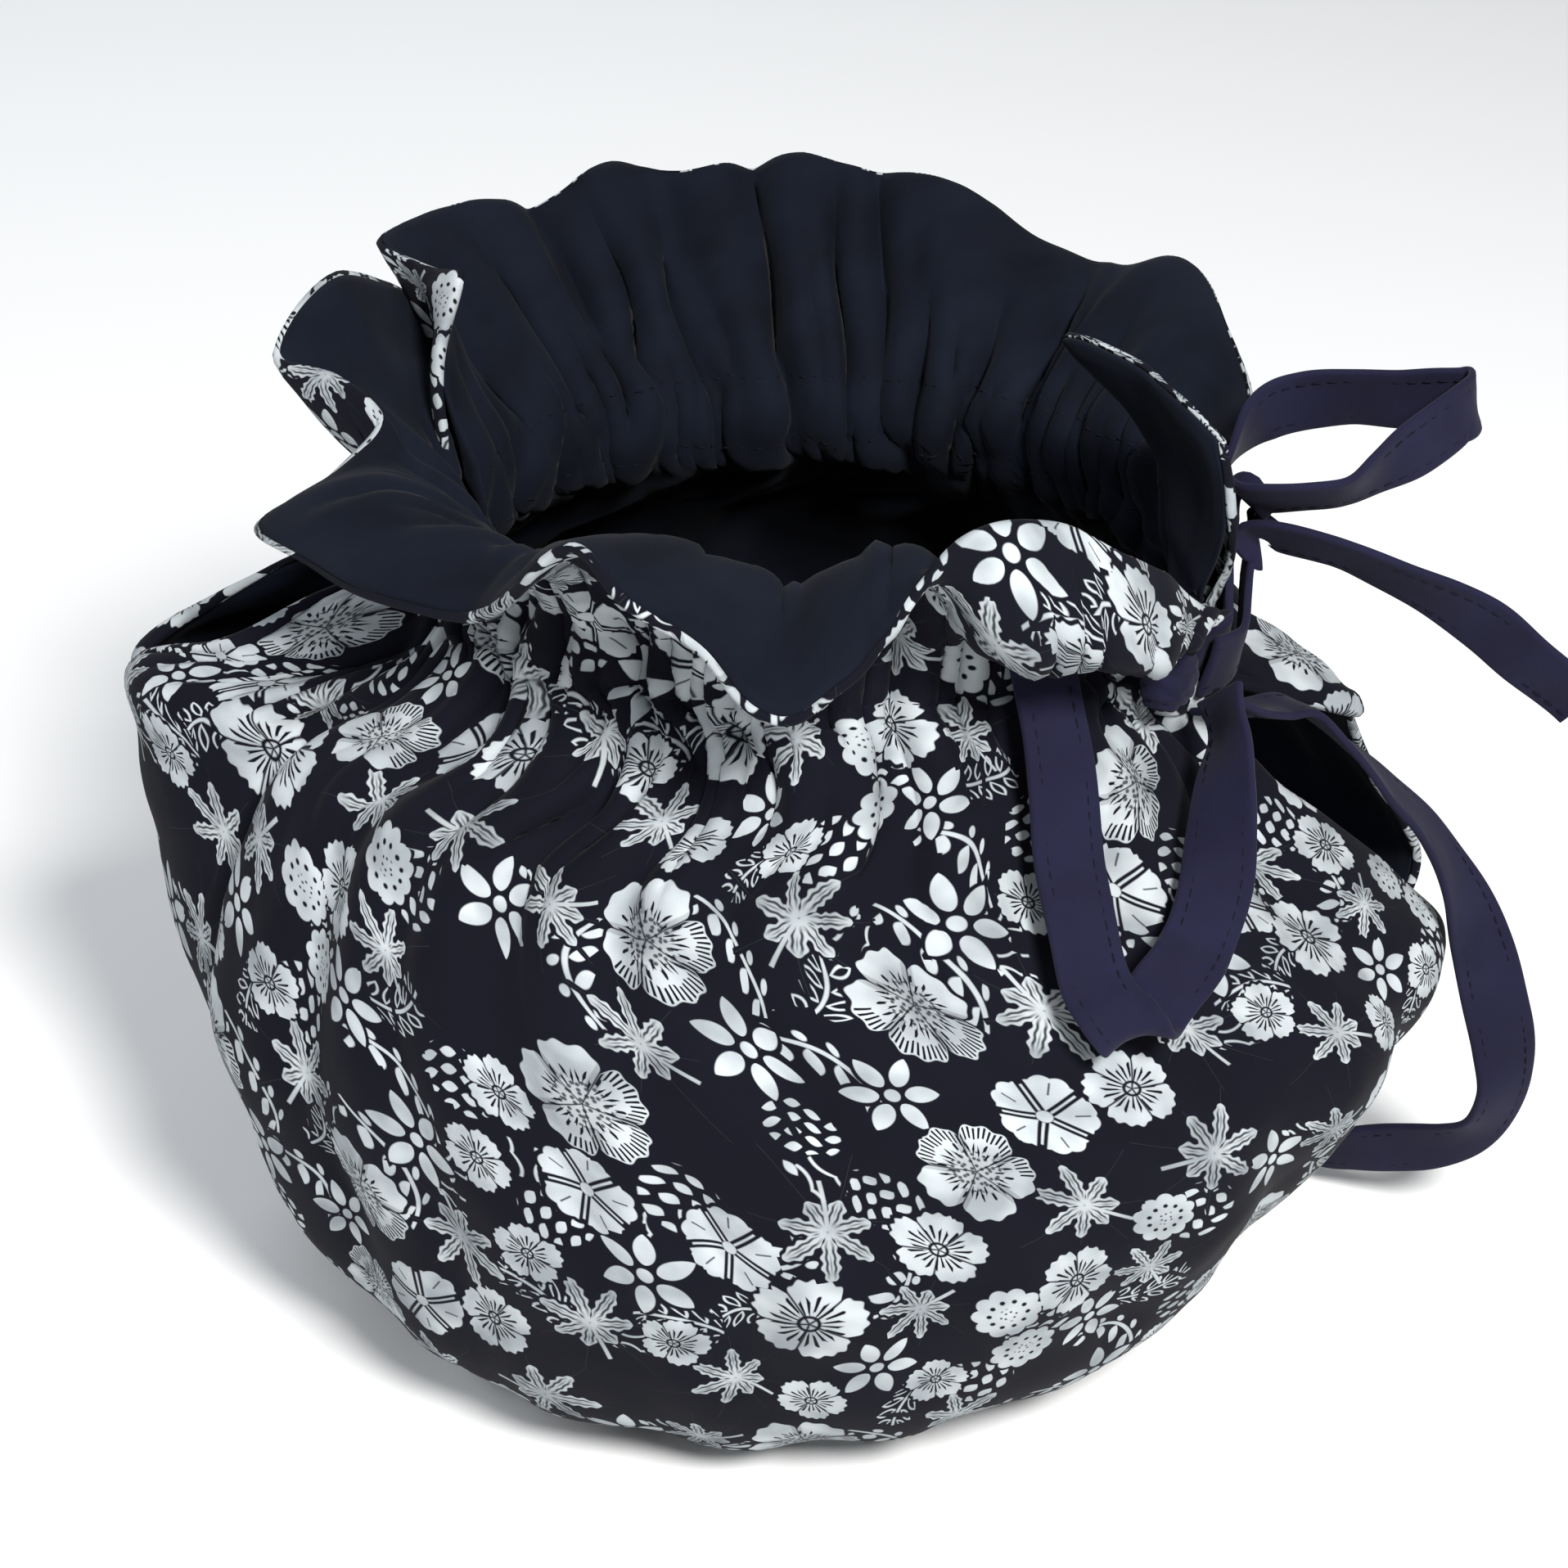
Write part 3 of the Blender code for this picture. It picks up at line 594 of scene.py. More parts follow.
def finished(name, mesh, *modifiers):
    """A piece from a mesh and its modifiers, with the modifiers worked into the mesh."""
    piece = bpy.data.objects.new(name, mesh)
    bpy.context.scene.collection.objects.link(piece)
    for kind, settings in modifiers:
        added = piece.modifiers.new(kind.lower(), kind)
        for key, value in settings.items():
            setattr(added, key, value)
    if modifiers:
        view = bpy.context.evaluated_depsgraph_get()
        piece.data = bpy.data.meshes.new_from_object(piece.evaluated_get(view))
        piece.modifiers.clear()
    piece.data.shade_smooth()
    return piece


PANELS = {}
for panel in ("front", "back"):
    for kind in ("print", "lining"):
        name = f"{kind}_panel_{panel}"
        wall = ("SOLIDIFY", {"thickness": CLOTH, "offset": 0.0, "use_rim": True})
        PANELS[panel, kind] = finished(name, layer_mesh(name, panel, kind), wall)
        print(name, len(PANELS[panel, kind].data.polygons), "faces")

# %% [markdown]
# ## Laying out the print
# The cloth is printed with scattered flowers, leaves and tendrils. Real print repeats in a tile, and
# so does this one. It is a layout of its own: each row says what stands where on the tile, in
# millimetres, how far it is turned, and how large it is. Two layers are laid out, the flowers, and
# the sprigs that fill the ground between them and stop where a flower covers them.
#
# Each face of the mesh is told which motif of each layer is nearest, and its corners get their own
# place on that motif. The material then only has to draw one motif of each kind, once.

# %% The tile
TILE = (118.0, 104.0)
PRINT_SCALE = 0.88          # the tile is drawn a little larger than it is printed
KINDS = ("poppy", "leaf", "daisy", "fan", "pansy", "dotted", "stem", "spray", "fern", "hollow")
REACH = {"poppy": 10.8, "leaf": 9.2, "daisy": 8.6, "fan": 8.1, "pansy": 7.1, "dotted": 6.1,
         "stem": 11.0, "spray": 7.0, "fern": 7.5, "hollow": 4.6}
FLOWERS = {
    "poppy": ((101, 72, 230, 1), (46, 39, 170, 1), (7, 49, 210, 1), (40, 10, 340, 0.88)),
    "leaf": ((13, 104, 260, 1), (89, 28, 110, 1), (55, 0, 150, 1), (116, 84, 140, 1),
        (34, 54, 50, 1), (79, 5, 0, 1.1), (66, 37, 280, 1.1), (113, 18, 150, 0.85),
        (66, 85, 120, 0.85), (25, 86, 220, 0.85), (107, 103, 200, 0.85)),
    "daisy": ((93, 99, 330, 1), (62, 54, 220, 1), (15, 32, 330, 1), (100, 41, 200, 1),
        (18, 74, 110, 0.85), (56, 75, 110, 0.85), (34, 25, 350, 0.85)),
    "fan": ((94, 55, 210, 1), (56, 19, 60, 1), (115, 48, 290, 1)),
    "pansy": ((7, 87, 290, 1.35), (30, 100, 0, 1.1), (51, 88, 50, 1.1), (71, 21, 240, 1.1),
        (85, 69, 140, 0.85), (76, 56, 120, 0.85), (29, 67, 20, 0.85), (8, 66, 60, 0.85),
        (80, 40, 300, 0.85), (103, 27, 290, 0.85)),
    "dotted": ((39, 85, 290, 1), (43, 74, 200, 1), (68, 98, 50, 1)),
}
SPRIGS = {
    "stem": ((64, 64, 310, 1.07), (18, 90, 210, 1.02), (21, 48, 290, 1.02), (5, 101, 200, 1.04),
        (26, 31, 320, 1.03), (110, 93, 80, 1.05), (55, 47, 290, 1.12)),
    "spray": ((75, 97, 60, 1.07), (45, 81, 270, 0.98), (36, 66, 340, 1.01), (87, 49, 140, 0.93),
        (78, 69, 90, 0.92), (110, 56, 50, 1.09), (17, 19, 80, 0.95), (24, 5, 140, 0.97)),
    "fern": ((23, 63, 240, 0.93), (104, 33, 170, 1.06), (35, 44, 60, 1.02), (69, 77, 20, 1.01),
        (116, 36, 190, 0.97), (80, 33, 150, 1.1)),
    "hollow": ((97, 25, 170, 0.96), (101, 51, 70, 0.97), (85, 58, 260, 0.96), (43, 52, 50, 0.94),
        (15, 9, 110, 1.11), (67, 46, 160, 0.96), (100, 104, 130, 0.92), (71, 53, 200, 0.96)),
}
for label, motifs in (("flowers", FLOWERS), ("sprigs", SPRIGS)):
    print(label, sum(len(rows) for rows in motifs.values()), "on a tile of", TILE)


# %% Which motif covers which face
def tile_copies(motifs, low, high):
    """Every motif that may reach into a stretch of cloth, with the tile repeated over it."""
    copies = []
    for a in range(math.floor(low[0] / TILE[0]) - 1, math.ceil(high[0] / TILE[0]) + 1):
        for b in range(math.floor(low[1] / TILE[1]) - 1, math.ceil(high[1] / TILE[1]) + 1):
            drop = TILE[1] / 2 if a % 2 else 0.0
            for kind, rows in motifs.items():
                for x, y, deg, size in rows:
                    place = (x + a * TILE[0], y + b * TILE[1] + drop)
                    copies.append((kind, *place, math.radians(deg), size))
    return copies


def lay_print(piece, layer, motifs):
    """Give each corner of each face its place on the nearest motif, and the motif's number."""
    mesh = piece.data
    flat = [tuple(corner.vector / PRINT_SCALE) for corner in mesh.uv_layers["cloth"].uv]
    low = [min(place[k] for place in flat) for k in (0, 1)]
    high = [max(place[k] for place in flat) for k in (0, 1)]
    copies = tile_copies(motifs, low, high)
    tree = kdtree.KDTree(len(copies))
    for number, copy in enumerate(copies):
        tree.insert((copy[1], copy[2], 0.0), number)
    tree.balance()
    values = [0.0] * (3 * len(flat))
    for face in mesh.polygons:
        corners = face.loop_indices
        x = sum(flat[c][0] for c in corners) / len(corners)
        y = sum(flat[c][1] for c in corners) / len(corners)
        near = tree.find_n((x, y, 0.0), 4)
        number = min(near, key=lambda n: n[2] / (REACH[copies[n[1]][0]] * copies[n[1]][4]))[1]
        kind, mx, my, turn, size = copies[number]
        c, s = math.cos(turn) / size, math.sin(turn) / size
        for corner in corners:
            dx, dy = flat[corner][0] - mx, flat[corner][1] - my
            values[3 * corner:3 * corner + 3] = (c * dx + s * dy, c * dy - s * dx, KINDS.index(kind))
    mesh.attributes.new(layer, "FLOAT_VECTOR", "CORNER").data.foreach_set("vector", values)
    print(piece.name, layer, len(copies), "motifs in reach")


for panel in ("front", "back"):
    lay_print(PANELS[panel, "print"], "flowers", FLOWERS)
    lay_print(PANELS[panel, "print"], "sprigs", SPRIGS)

# %% [markdown]
# ## Sums made of nodes
# A printed petal is a sum: how far a point is from the petal's edge. A Math node holds one step of
# it, so a flower takes dozens. The small helper below lets the script write the sums as sums, and
# lays the nodes and links itself.


# %% Math nodes written as sums
class Reading:
    """A number that changes over the cloth: the output of a Math node in a node tree."""

    def __init__(self, tree, socket):
        self.tree, self.socket = tree, socket

    def step(self, operation, *others, clamp=False):
        node = self.tree.nodes.new("ShaderNodeMath")
        node.operation, node.use_clamp = operation, clamp
        for slot, value in zip(node.inputs, (self, *others)):
            if isinstance(value, Reading):
                self.tree.links.new(value.socket, slot)
            else:
                slot.default_value = value
        return Reading(self.tree, node.outputs[0])

    def __add__(self, other):
        return self.step("ADD", other)

    def __sub__(self, other):
        return self.step("SUBTRACT", other)

    def __rsub__(self, other):
        return self.step("MULTIPLY_ADD", -1.0, other)

    def __mul__(self, other):
        return self.step("MULTIPLY", other)

    def __truediv__(self, other):
        return self.step("DIVIDE", other)

    def __pow__(self, other):
        return self.step("POWER", other)

    def __abs__(self):
        return self.step("ABSOLUTE")

    __radd__, __rmul__ = __add__, __mul__

    def wave(self):
        return self.step("SINE")

    def within_one(self):
        return self.step("FRACT")

    def or_more(self, other):
        return self.step("MAXIMUM", other)

    def or_less(self, other):
        return self.step("MINIMUM", other)


INK_SOFTNESS = 0.22          # millimetres over which the edge of the ink fades


def ink(inside):
    """1 where inside is above 0 millimetres, 0 where it is below, with a soft edge."""
    return (inside / INK_SOFTNESS).step("ADD", 0.5, clamp=True)


def new_group(name, inputs, outputs):
    """An empty shader node group with named sockets, and its input and output nodes."""
    tree = bpy.data.node_groups.new(name, "ShaderNodeTree")
    for label, kind in inputs:
        tree.interface.new_socket(label, in_out="INPUT", socket_type=kind)
    for label, kind in outputs:
        tree.interface.new_socket(label, in_out="OUTPUT", socket_type=kind)
    return tree, tree.nodes.new("NodeGroupInput"), tree.nodes.new("NodeGroupOutput")


print("helpers for node sums are ready")

# %% [markdown]
# ## The motifs
# Every motif is drawn from its own middle. Around the middle the plane is cut into equal slices, one
# for each petal. Inside a slice, `along` runs out from the middle and `across` is the distance from
# the petal's midrib, so a petal is drawn once and appears all round.


# %% Slices of a flower
RAY_SOFTNESS = 0.12          # how far the edge of a thin ray fades, as a share of its slice


def slices(x, y, petals):
    """The radius, the place in the slice from -0.5 to 0.5, and along and across its midrib."""
    radius = (x * x + y * y) ** 0.5
    turn = y.step("ARCTAN2", x) * (petals / (2 * math.pi))
    off = (turn + 0.5).within_one() - 0.5
    lean = off * (2 * math.pi / petals)
    return radius, off, radius * lean.step("COSINE"), abs(radius * lean.wave())


def strokes(x, y, count, share):
    """Thin rays round the middle: 1 on a ray, which takes up a share of its slice."""
    turn = y.step("ARCTAN2", x) * (count / (2 * math.pi))
    off = abs(turn.within_one() - 0.5)
    return (1.0 - (off / RAY_SOFTNESS + (0.5 - share / 2 / RAY_SOFTNESS))).step("ADD", 0.0, clamp=True)


def spots(x, y, pitch, size):
    """Scattered dots: 1 inside a dot."""
    tree = x.tree
    spot = tree.nodes.new("ShaderNodeCombineXYZ")
    for slot, value in zip(spot.inputs, (x, y)):
        tree.links.new(value.socket, slot)
    cells = tree.nodes.new("ShaderNodeTexVoronoi")
    cells.voronoi_dimensions = "2D"
    cells.inputs["Scale"].default_value = 1 / pitch
    tree.links.new(spot.outputs[0], cells.inputs["Vector"])
    return ink(size - Reading(tree, cells.outputs["Distance"]) * pitch)


def ring(radius, low, high):
    """1 where a reading is between two values."""
    return ink(radius - low) * ink(high - radius)


def poppy(x, y):
    """Five wavy petals, a comb of fine strokes along the upper ones, and a stippled eye."""
    radius, off, along, across = slices(x, y, 5)
    edge = 10.0 - 2.8 * (abs(off) * 2) ** 4 + 0.3 * (off * 23).wave() - radius
    gap = (0.5 - abs(off)) * radius * 1.25
    comb = strokes(x, y, 64, 0.45) * ring(edge, 0.3, 2.8) * ink(y)
    rays = strokes(x, y, 34, 0.5) * ring(radius + (off * 25).wave() * 0.9, 3.9, 5.4)
    stipple = spots(x, y, 1.1, 0.33) * ink(4.3 - radius)
    shade = 0.72 + 0.28 * (radius / 8.0).or_less(1.0) - 0.3 * ink(0.9 - gap) * ring(radius, 4.0, 9.5)
    marks = (1 - comb) * (1 - rays) * (1 - 0.85 * stipple)
    return ink(edge) * ink(gap - 0.12) * shade * marks, ink(edge + 0.8)


def leaf(x, y):
    """Seven narrow leaflets from one stalk, with wavy rims and dark streaks beside their midribs."""
    radius, off, along, across = slices(x, y, 7)
    size = x / (radius + 0.01) * 1.8 + 7.5
    share = along / size
    half = (share.or_more(0.0) ** 0.8) * ((1.02 - share).or_more(0.0) ** 0.55) * 3.5
    half = half * (1.0 + 0.15 * (along * 3.1).wave()) - 0.08
    streak = ink(0.2 - abs(across - 0.12 - half * 0.36)) * ring(share, 0.24, 0.86)
    midrib = ink(0.1 - across) * ring(share, 0.5, 0.8)
    blade = ink(half - across) * (1 - 0.92 * streak) * (1 - 0.8 * midrib)
    stem = ink(0.36 - abs(y)) * ink(0 - x) * ink(x + 9.0)
    return (blade * 0.9).or_more(stem * 0.9), ink(half + 0.7 - across)


def daisy(x, y):
    """Six separate petals, round inside and pointed outside, and a round button."""
    radius, off, along, across = slices(x, y, 6)
    share = (along - 2.1) / 6.4
    half = (share.or_more(0.0) ** 0.55) * ((1.0 - share).or_more(0.0) ** 0.75) * 4.3
    button = 1.3 - radius
    clear = ink(half + 0.7 - across).or_more(ink(button + 0.8))
    return ink(half - across - 0.12).or_more(ink(button)), clear


def fan(x, y):
    """Five fan-shaped petals with notched rims, parted by dark bands that hold a thin pale line."""
    radius, off, along, across = slices(x, y, 5)
    edge = 7.6 + 0.5 * abs((off * 9.4).wave()) - 1.1 * (abs(off) * 2) ** 3 - radius
    gap = (0.5 - abs(off)) * radius * 1.25
    line = ink(0.2 - gap) * ring(radius, 1.3, 6.6)
    nerve = ink(0.15 - across) * ring(along, 4.4, 6.8)
    petals = ink(edge) * ink(gap - 0.8) * (1 - 0.9 * nerve)
    eye = ink(1.2 - radius)
    return petals.or_more(line).or_more(eye), ink(edge + 0.8)


def pansy(x, y):
    """Five round petals with dark rays from a pale eye."""
    radius, off, along, across = slices(x, y, 5)
    edge = 6.6 - 1.7 * (abs(off) * 2) ** 4 + 0.22 * (off * 31).wave() - radius
    gap = (0.5 - abs(off)) * radius * 1.25
    rays = strokes(x, y, 22, 0.42) * ring(radius + (off * 19).wave() * 0.55, 1.5, 3.9)
    petals = ink(edge) * ink(gap - 0.14) * (1 - rays) * (1 - ring(radius, 0.9, 1.35))
    return petals, ink(edge + 0.8)


def dotted(x, y):
    """A scalloped round flower with a ring of dots."""
    radius, off, along, across = slices(x, y, 10)
    edge = 5.7 - 0.9 * (abs(off) * 2) ** 2 - radius
    bead = ((along - 3.0) ** 2 + across * across) ** 0.5
    dots = spots(x, y, 1.0, 0.2) * ink(1.6 - radius)
    return ink(edge) * (1 - ink(0.42 - bead)) * (1 - dots), ink(edge + 0.7)


def stem(x, y):
    """A long bent stem with leaves on one side and buds on the other."""
    bend = y - 2.6 + 0.055 * x * x
    line = ink(0.38 - abs(bend)) * ink(10.2 - abs(x))
    place = ((x + bend * 0.7) / 4.2).within_one() - 0.5
    leaves = ink(1.05 - 0.30 * (bend + 2.3) ** 2 - abs(place * 3.4))
    bud = ((place * 4.2) ** 2 + (bend - 1.5) ** 2) ** 0.5
    return line.or_more((leaves.or_more(ink(0.8 - bud))) * ink(8.6 - abs(x)))


def spray(x, y):
    """Loose drop-shaped leaves in rows, thinning out from the middle."""
    row = ((y + 0.3 * x) / 3.5).step("FLOOR")
    down = ((y + 0.3 * x) / 3.5).within_one() - 0.5
    place = (x / 3.1 + row * 0.5).within_one() - 0.5
    lean = place * 3.1 + down * ((row * 2.1).wave() * 1.6)
    drop = ink(0.95 - 0.42 * (down * 3.5 + 0.2) ** 2 - abs(lean))
    return drop * ink(6.4 - (x * x + y * y) ** 0.5)


def fern(x, y):
    """A small frond of outlined leaves on a bent stem."""
    bend = y - 0.05 * x * x
    side = abs(bend)
    place = ((x - side * 0.8) / 2.9).within_one() - 0.5
    blade = 0.95 - 0.36 * (side - 2.1) ** 2 - abs(place) * 2.6
    leaves = (ink(blade) * (1 - ink(blade - 0.42))) * ink(6.2 - abs(x))
    return leaves.or_more(ink(0.28 - side) * ink(6.8 - abs(x)))


def hollow(x, y):
    """A bud drawn in outline only, with a small full one beside it."""
    edge = 1.9 - 0.5 * abs(x + 0.7) - abs(y) * 0.8 + 0.12 * x * x
    line = ink(edge) * (1 - ink(edge - 0.42)) * ink(3.4 - abs(x))
    return line.or_more(ink(0.55 - 0.3 * (x - 3.4) ** 2 - abs(y - 2.2) * 0.8))


DRAWN = (poppy, leaf, daisy, fan, pansy, dotted, stem, spray, fern, hollow)
MOTIFS = {motif.__name__: motif for motif in DRAWN}


def motif_group(kind):
    """A node group that draws one motif: its place on the motif comes in, its ink goes out."""
    outputs = [("Ink", "NodeSocketFloat"), ("Clear", "NodeSocketFloat")]
    tree, entry, leave = new_group("print_" + kind, [("Place", "NodeSocketVector")], outputs)
    split = tree.nodes.new("ShaderNodeSeparateXYZ")
    tree.links.new(entry.outputs["Place"], split.inputs[0])
    x, y, number = (Reading(tree, split.outputs[k]) for k in range(3))
    chosen = number.step("COMPARE", KINDS.index(kind), 0.3)
    drawn = MOTIFS[kind](x, y)
    for label, value in zip(("Ink", "Clear"), drawn if isinstance(drawn, tuple) else (drawn,)):
        tree.links.new((value * chosen).socket, leave.inputs[label])
    print("print_" + kind, len(tree.nodes), "nodes")
    return tree


MOTIF_GROUPS = {kind: motif_group(kind) for kind in KINDS}

# %% [markdown]
# ## Weave and wear
# All the cloths here are plain woven cotton: threads go over and under each other, a third of a
# millimetre apart. That is too fine to model, so it is bump, drawn on the flat cloth. A second group
# makes the slow changes, where the dye took a little more or less and the cloth catches lint.


# %% Groups that every cloth uses
def cloth_place(tree):
    """The place on the flat cloth, in millimetres."""
    flat = tree.nodes.new("ShaderNodeUVMap")
    flat.uv_map = "cloth"
    return flat.outputs["UV"]


def speckle(tree, place, scale, detail=2.0):
    """Noise over the flat cloth, centred on 0.5."""
    node = tree.nodes.new("ShaderNodeTexNoise")
    tree.links.new(place, node.inputs["Vector"])
    node.inputs["Scale"].default_value = scale
    node.inputs["Detail"].default_value = detail
    return Reading(tree, node.outputs["Fac"])


def weave_group():
    """Threads that go over and under each other, as a height."""
    inputs = [("Place", "NodeSocketVector"), ("Pitch", "NodeSocketFloat")]
    tree, entry, leave = new_group("plain_weave", inputs, [("Height", "NodeSocketFloat")])
    split = tree.nodes.new("ShaderNodeSeparateXYZ")
    tree.links.new(entry.outputs["Place"], split.inputs[0])
    pitch = Reading(tree, entry.outputs["Pitch"])
    x, y = (Reading(tree, split.outputs[k]) / pitch * math.pi for k in (0, 1))
    slub = speckle(tree, entry.outputs["Place"], 0.9) * 0.8
    warp, weft = abs((x + slub).wave()), abs((y + slub).wave())
    over = (x.wave() * y.wave()).step("SIGN") * 0.25
    height = (warp * (0.5 + over)) + (weft * (0.5 - over))
    tree.links.new(height.socket, leave.inputs["Height"])
    return tree


def tone_group():
    """Slow changes of tone, and specks of lint."""
    outputs = [("Slow", "NodeSocketFloat"), ("Lint", "NodeSocketFloat")]
    tree, entry, leave = new_group("cloth_tone", [("Place", "NodeSocketVector")], outputs)
    place = entry.outputs["Place"]
    tree.links.new(speckle(tree, place, 0.06, 3.0).socket, leave.inputs["Slow"])
    specks = (speckle(tree, place, 1.7, 3.0) - 0.66).step("MULTIPLY", 7.0, clamp=True)
    tree.links.new(specks.socket, leave.inputs["Lint"])
    return tree


WEAVE, TONE = weave_group(), tone_group()
print("groups:", WEAVE.name, TONE.name)

# %% [markdown]
# ## The cloths
# Cotton is matt, with a faint bloom at grazing angles from loose fibres, which is what the shader's
# sheen is for. The print's ink is a pale, slightly smoother film on the dark ground, though here it takes
# the ground's roughness.

# %% Materials
COLOURS = {
    "ground": (0.0026, 0.0028, 0.0058),
    "ground_worn": (0.0045, 0.0050, 0.0095),
    "ink": (0.43, 0.465, 0.485),
    "ink_shade": (0.23, 0.255, 0.272),
    "lining": (0.0018, 0.0022, 0.0044),
    "lining_worn": (0.0066, 0.0090, 0.0170),
    "tie": (0.0066, 0.0062, 0.0165),
    "tie_worn": (0.0130, 0.0128, 0.0350),
    "thread": (0.0060, 0.0068, 0.012),
    "floor": (0.86, 0.86, 0.86),
}


def new_material(name):
    """An empty material, its node tree and its shader."""
    made = bpy.data.materials.new(name)
    made.use_nodes = True
    return made, made.node_tree, made.node_tree.nodes["Principled BSDF"]


def mixed(tree, share, first, second):
    """A colour between two others, which are colours or sockets."""
    node = tree.nodes.new("ShaderNodeMix")
    node.data_type = "RGBA"
    tree.links.new(share.socket, node.inputs["Factor"])
    for slot, colour in ((node.inputs[6], first), (node.inputs[7], second)):
        if isinstance(colour, tuple):
            slot.default_value = (*colour, 1.0)
        else:
            tree.links.new(colour, slot)
    return node.outputs[2]


def cloth_material(name, low, high, pitch, sheen):
    """Woven cotton: a tone between two colours, with painted shade between the threads, and weave bump."""
    made, tree, shader = new_material(name)
    place = cloth_place(tree)
    weave, tone = tree.nodes.new("ShaderNodeGroup"), tree.nodes.new("ShaderNodeGroup")
    weave.node_tree, tone.node_tree = WEAVE, TONE
    for node in (weave, tone):
        tree.links.new(place, node.inputs["Place"])
    weave.inputs["Pitch"].default_value = pitch
    slow, lint = Reading(tree, tone.outputs["Slow"]), Reading(tree, tone.outputs["Lint"])
    height = Reading(tree, weave.outputs["Height"])
    # the weave's height lightens the tone a little on the threads' tops: painted shade between the threads
    mix = ((slow - 0.5) * 1.6 + 0.45 + lint * 0.35 + height * 0.1).step("ADD", 0.0, clamp=True)
    colour = mixed(tree, mix, COLOURS[low], COLOURS[high])
    tree.links.new(colour, shader.inputs["Base Color"])
    tree.links.new((0.86 + (slow - 0.5) * 0.15).socket, shader.inputs["Roughness"])
    knit = tree.nodes.new("ShaderNodeBump")
    knit.inputs["Strength"].default_value = 0.10
    knit.inputs["Distance"].default_value = 0.25 * MM
    tree.links.new(height.socket, knit.inputs["Height"])
    tree.links.new(knit.outputs["Normal"], shader.inputs["Normal"])
    shader.inputs["Sheen Weight"].default_value = sheen
    shader.inputs["Sheen Roughness"].default_value = 0.5
    shader.inputs["Specular IOR Level"].default_value = 0.07
    return made, tree, shader, colour


def print_material():
    """The dark ground with its flowers and sprigs in pale ink."""
    made, tree, shader, ground = cloth_material("printed_cotton", "ground", "ground_worn", 0.36, 0.02)
    layers = {}
    for layer, motifs in (("flowers", FLOWERS), ("sprigs", SPRIGS)):
        source = tree.nodes.new("ShaderNodeAttribute")
        source.attribute_name = layer
        total, clear = None, None
        for kind in sorted(motifs):
            node = tree.nodes.new("ShaderNodeGroup")
            node.node_tree = MOTIF_GROUPS[kind]
            tree.links.new(source.outputs["Vector"], node.inputs["Place"])
            found = Reading(tree, node.outputs["Ink"])
            around = Reading(tree, node.outputs["Clear"])
            total = found if total is None else total + found
            clear = around if clear is None else clear + around
        layers[layer] = (total, clear)
    place = cloth_place(tree)
    inked = layers["flowers"][0].or_more(layers["sprigs"][0] * (1 - layers["flowers"][1]))
    shade = ((speckle(tree, place, 0.11, 2.0) - 0.5) * 3.2 + 0.5).step("ADD", 0.0, clamp=True)
    pale = mixed(tree, shade, COLOURS["ink_shade"], COLOURS["ink"])
    tree.links.new(mixed(tree, inked, ground, pale), shader.inputs["Base Color"])
    return made


CLOTHS = {
    "print": print_material(),
    "lining": cloth_material("lining_cotton", "lining", "lining_worn", 0.4, 0.015)[0],
    "tie": cloth_material("tie_cotton", "tie", "tie_worn", 0.36, 0.04)[0],
}
for (panel, kind), piece in PANELS.items():
    piece.data.materials.clear()
    piece.data.materials.append(CLOTHS[kind])
print("materials:", [made.name for made in CLOTHS.values()])

# %% [markdown]
# ## The ties
# A tie is a strip of cloth folded lengthwise and sewn shut, so it is a flat tube about 10 mm wide
# with a line of stitches beside each edge. Four lengths come out of the knot: two loops of the bow,
# the long end that runs off to the side, and the end that hangs down and curls. Each is a grid whose
# width is turned along a table of places, and subdivision rounds its edges.

# %% The rows of the ties
TIE_WIDTH = 10.5
TIE_THICKNESS = 1.2
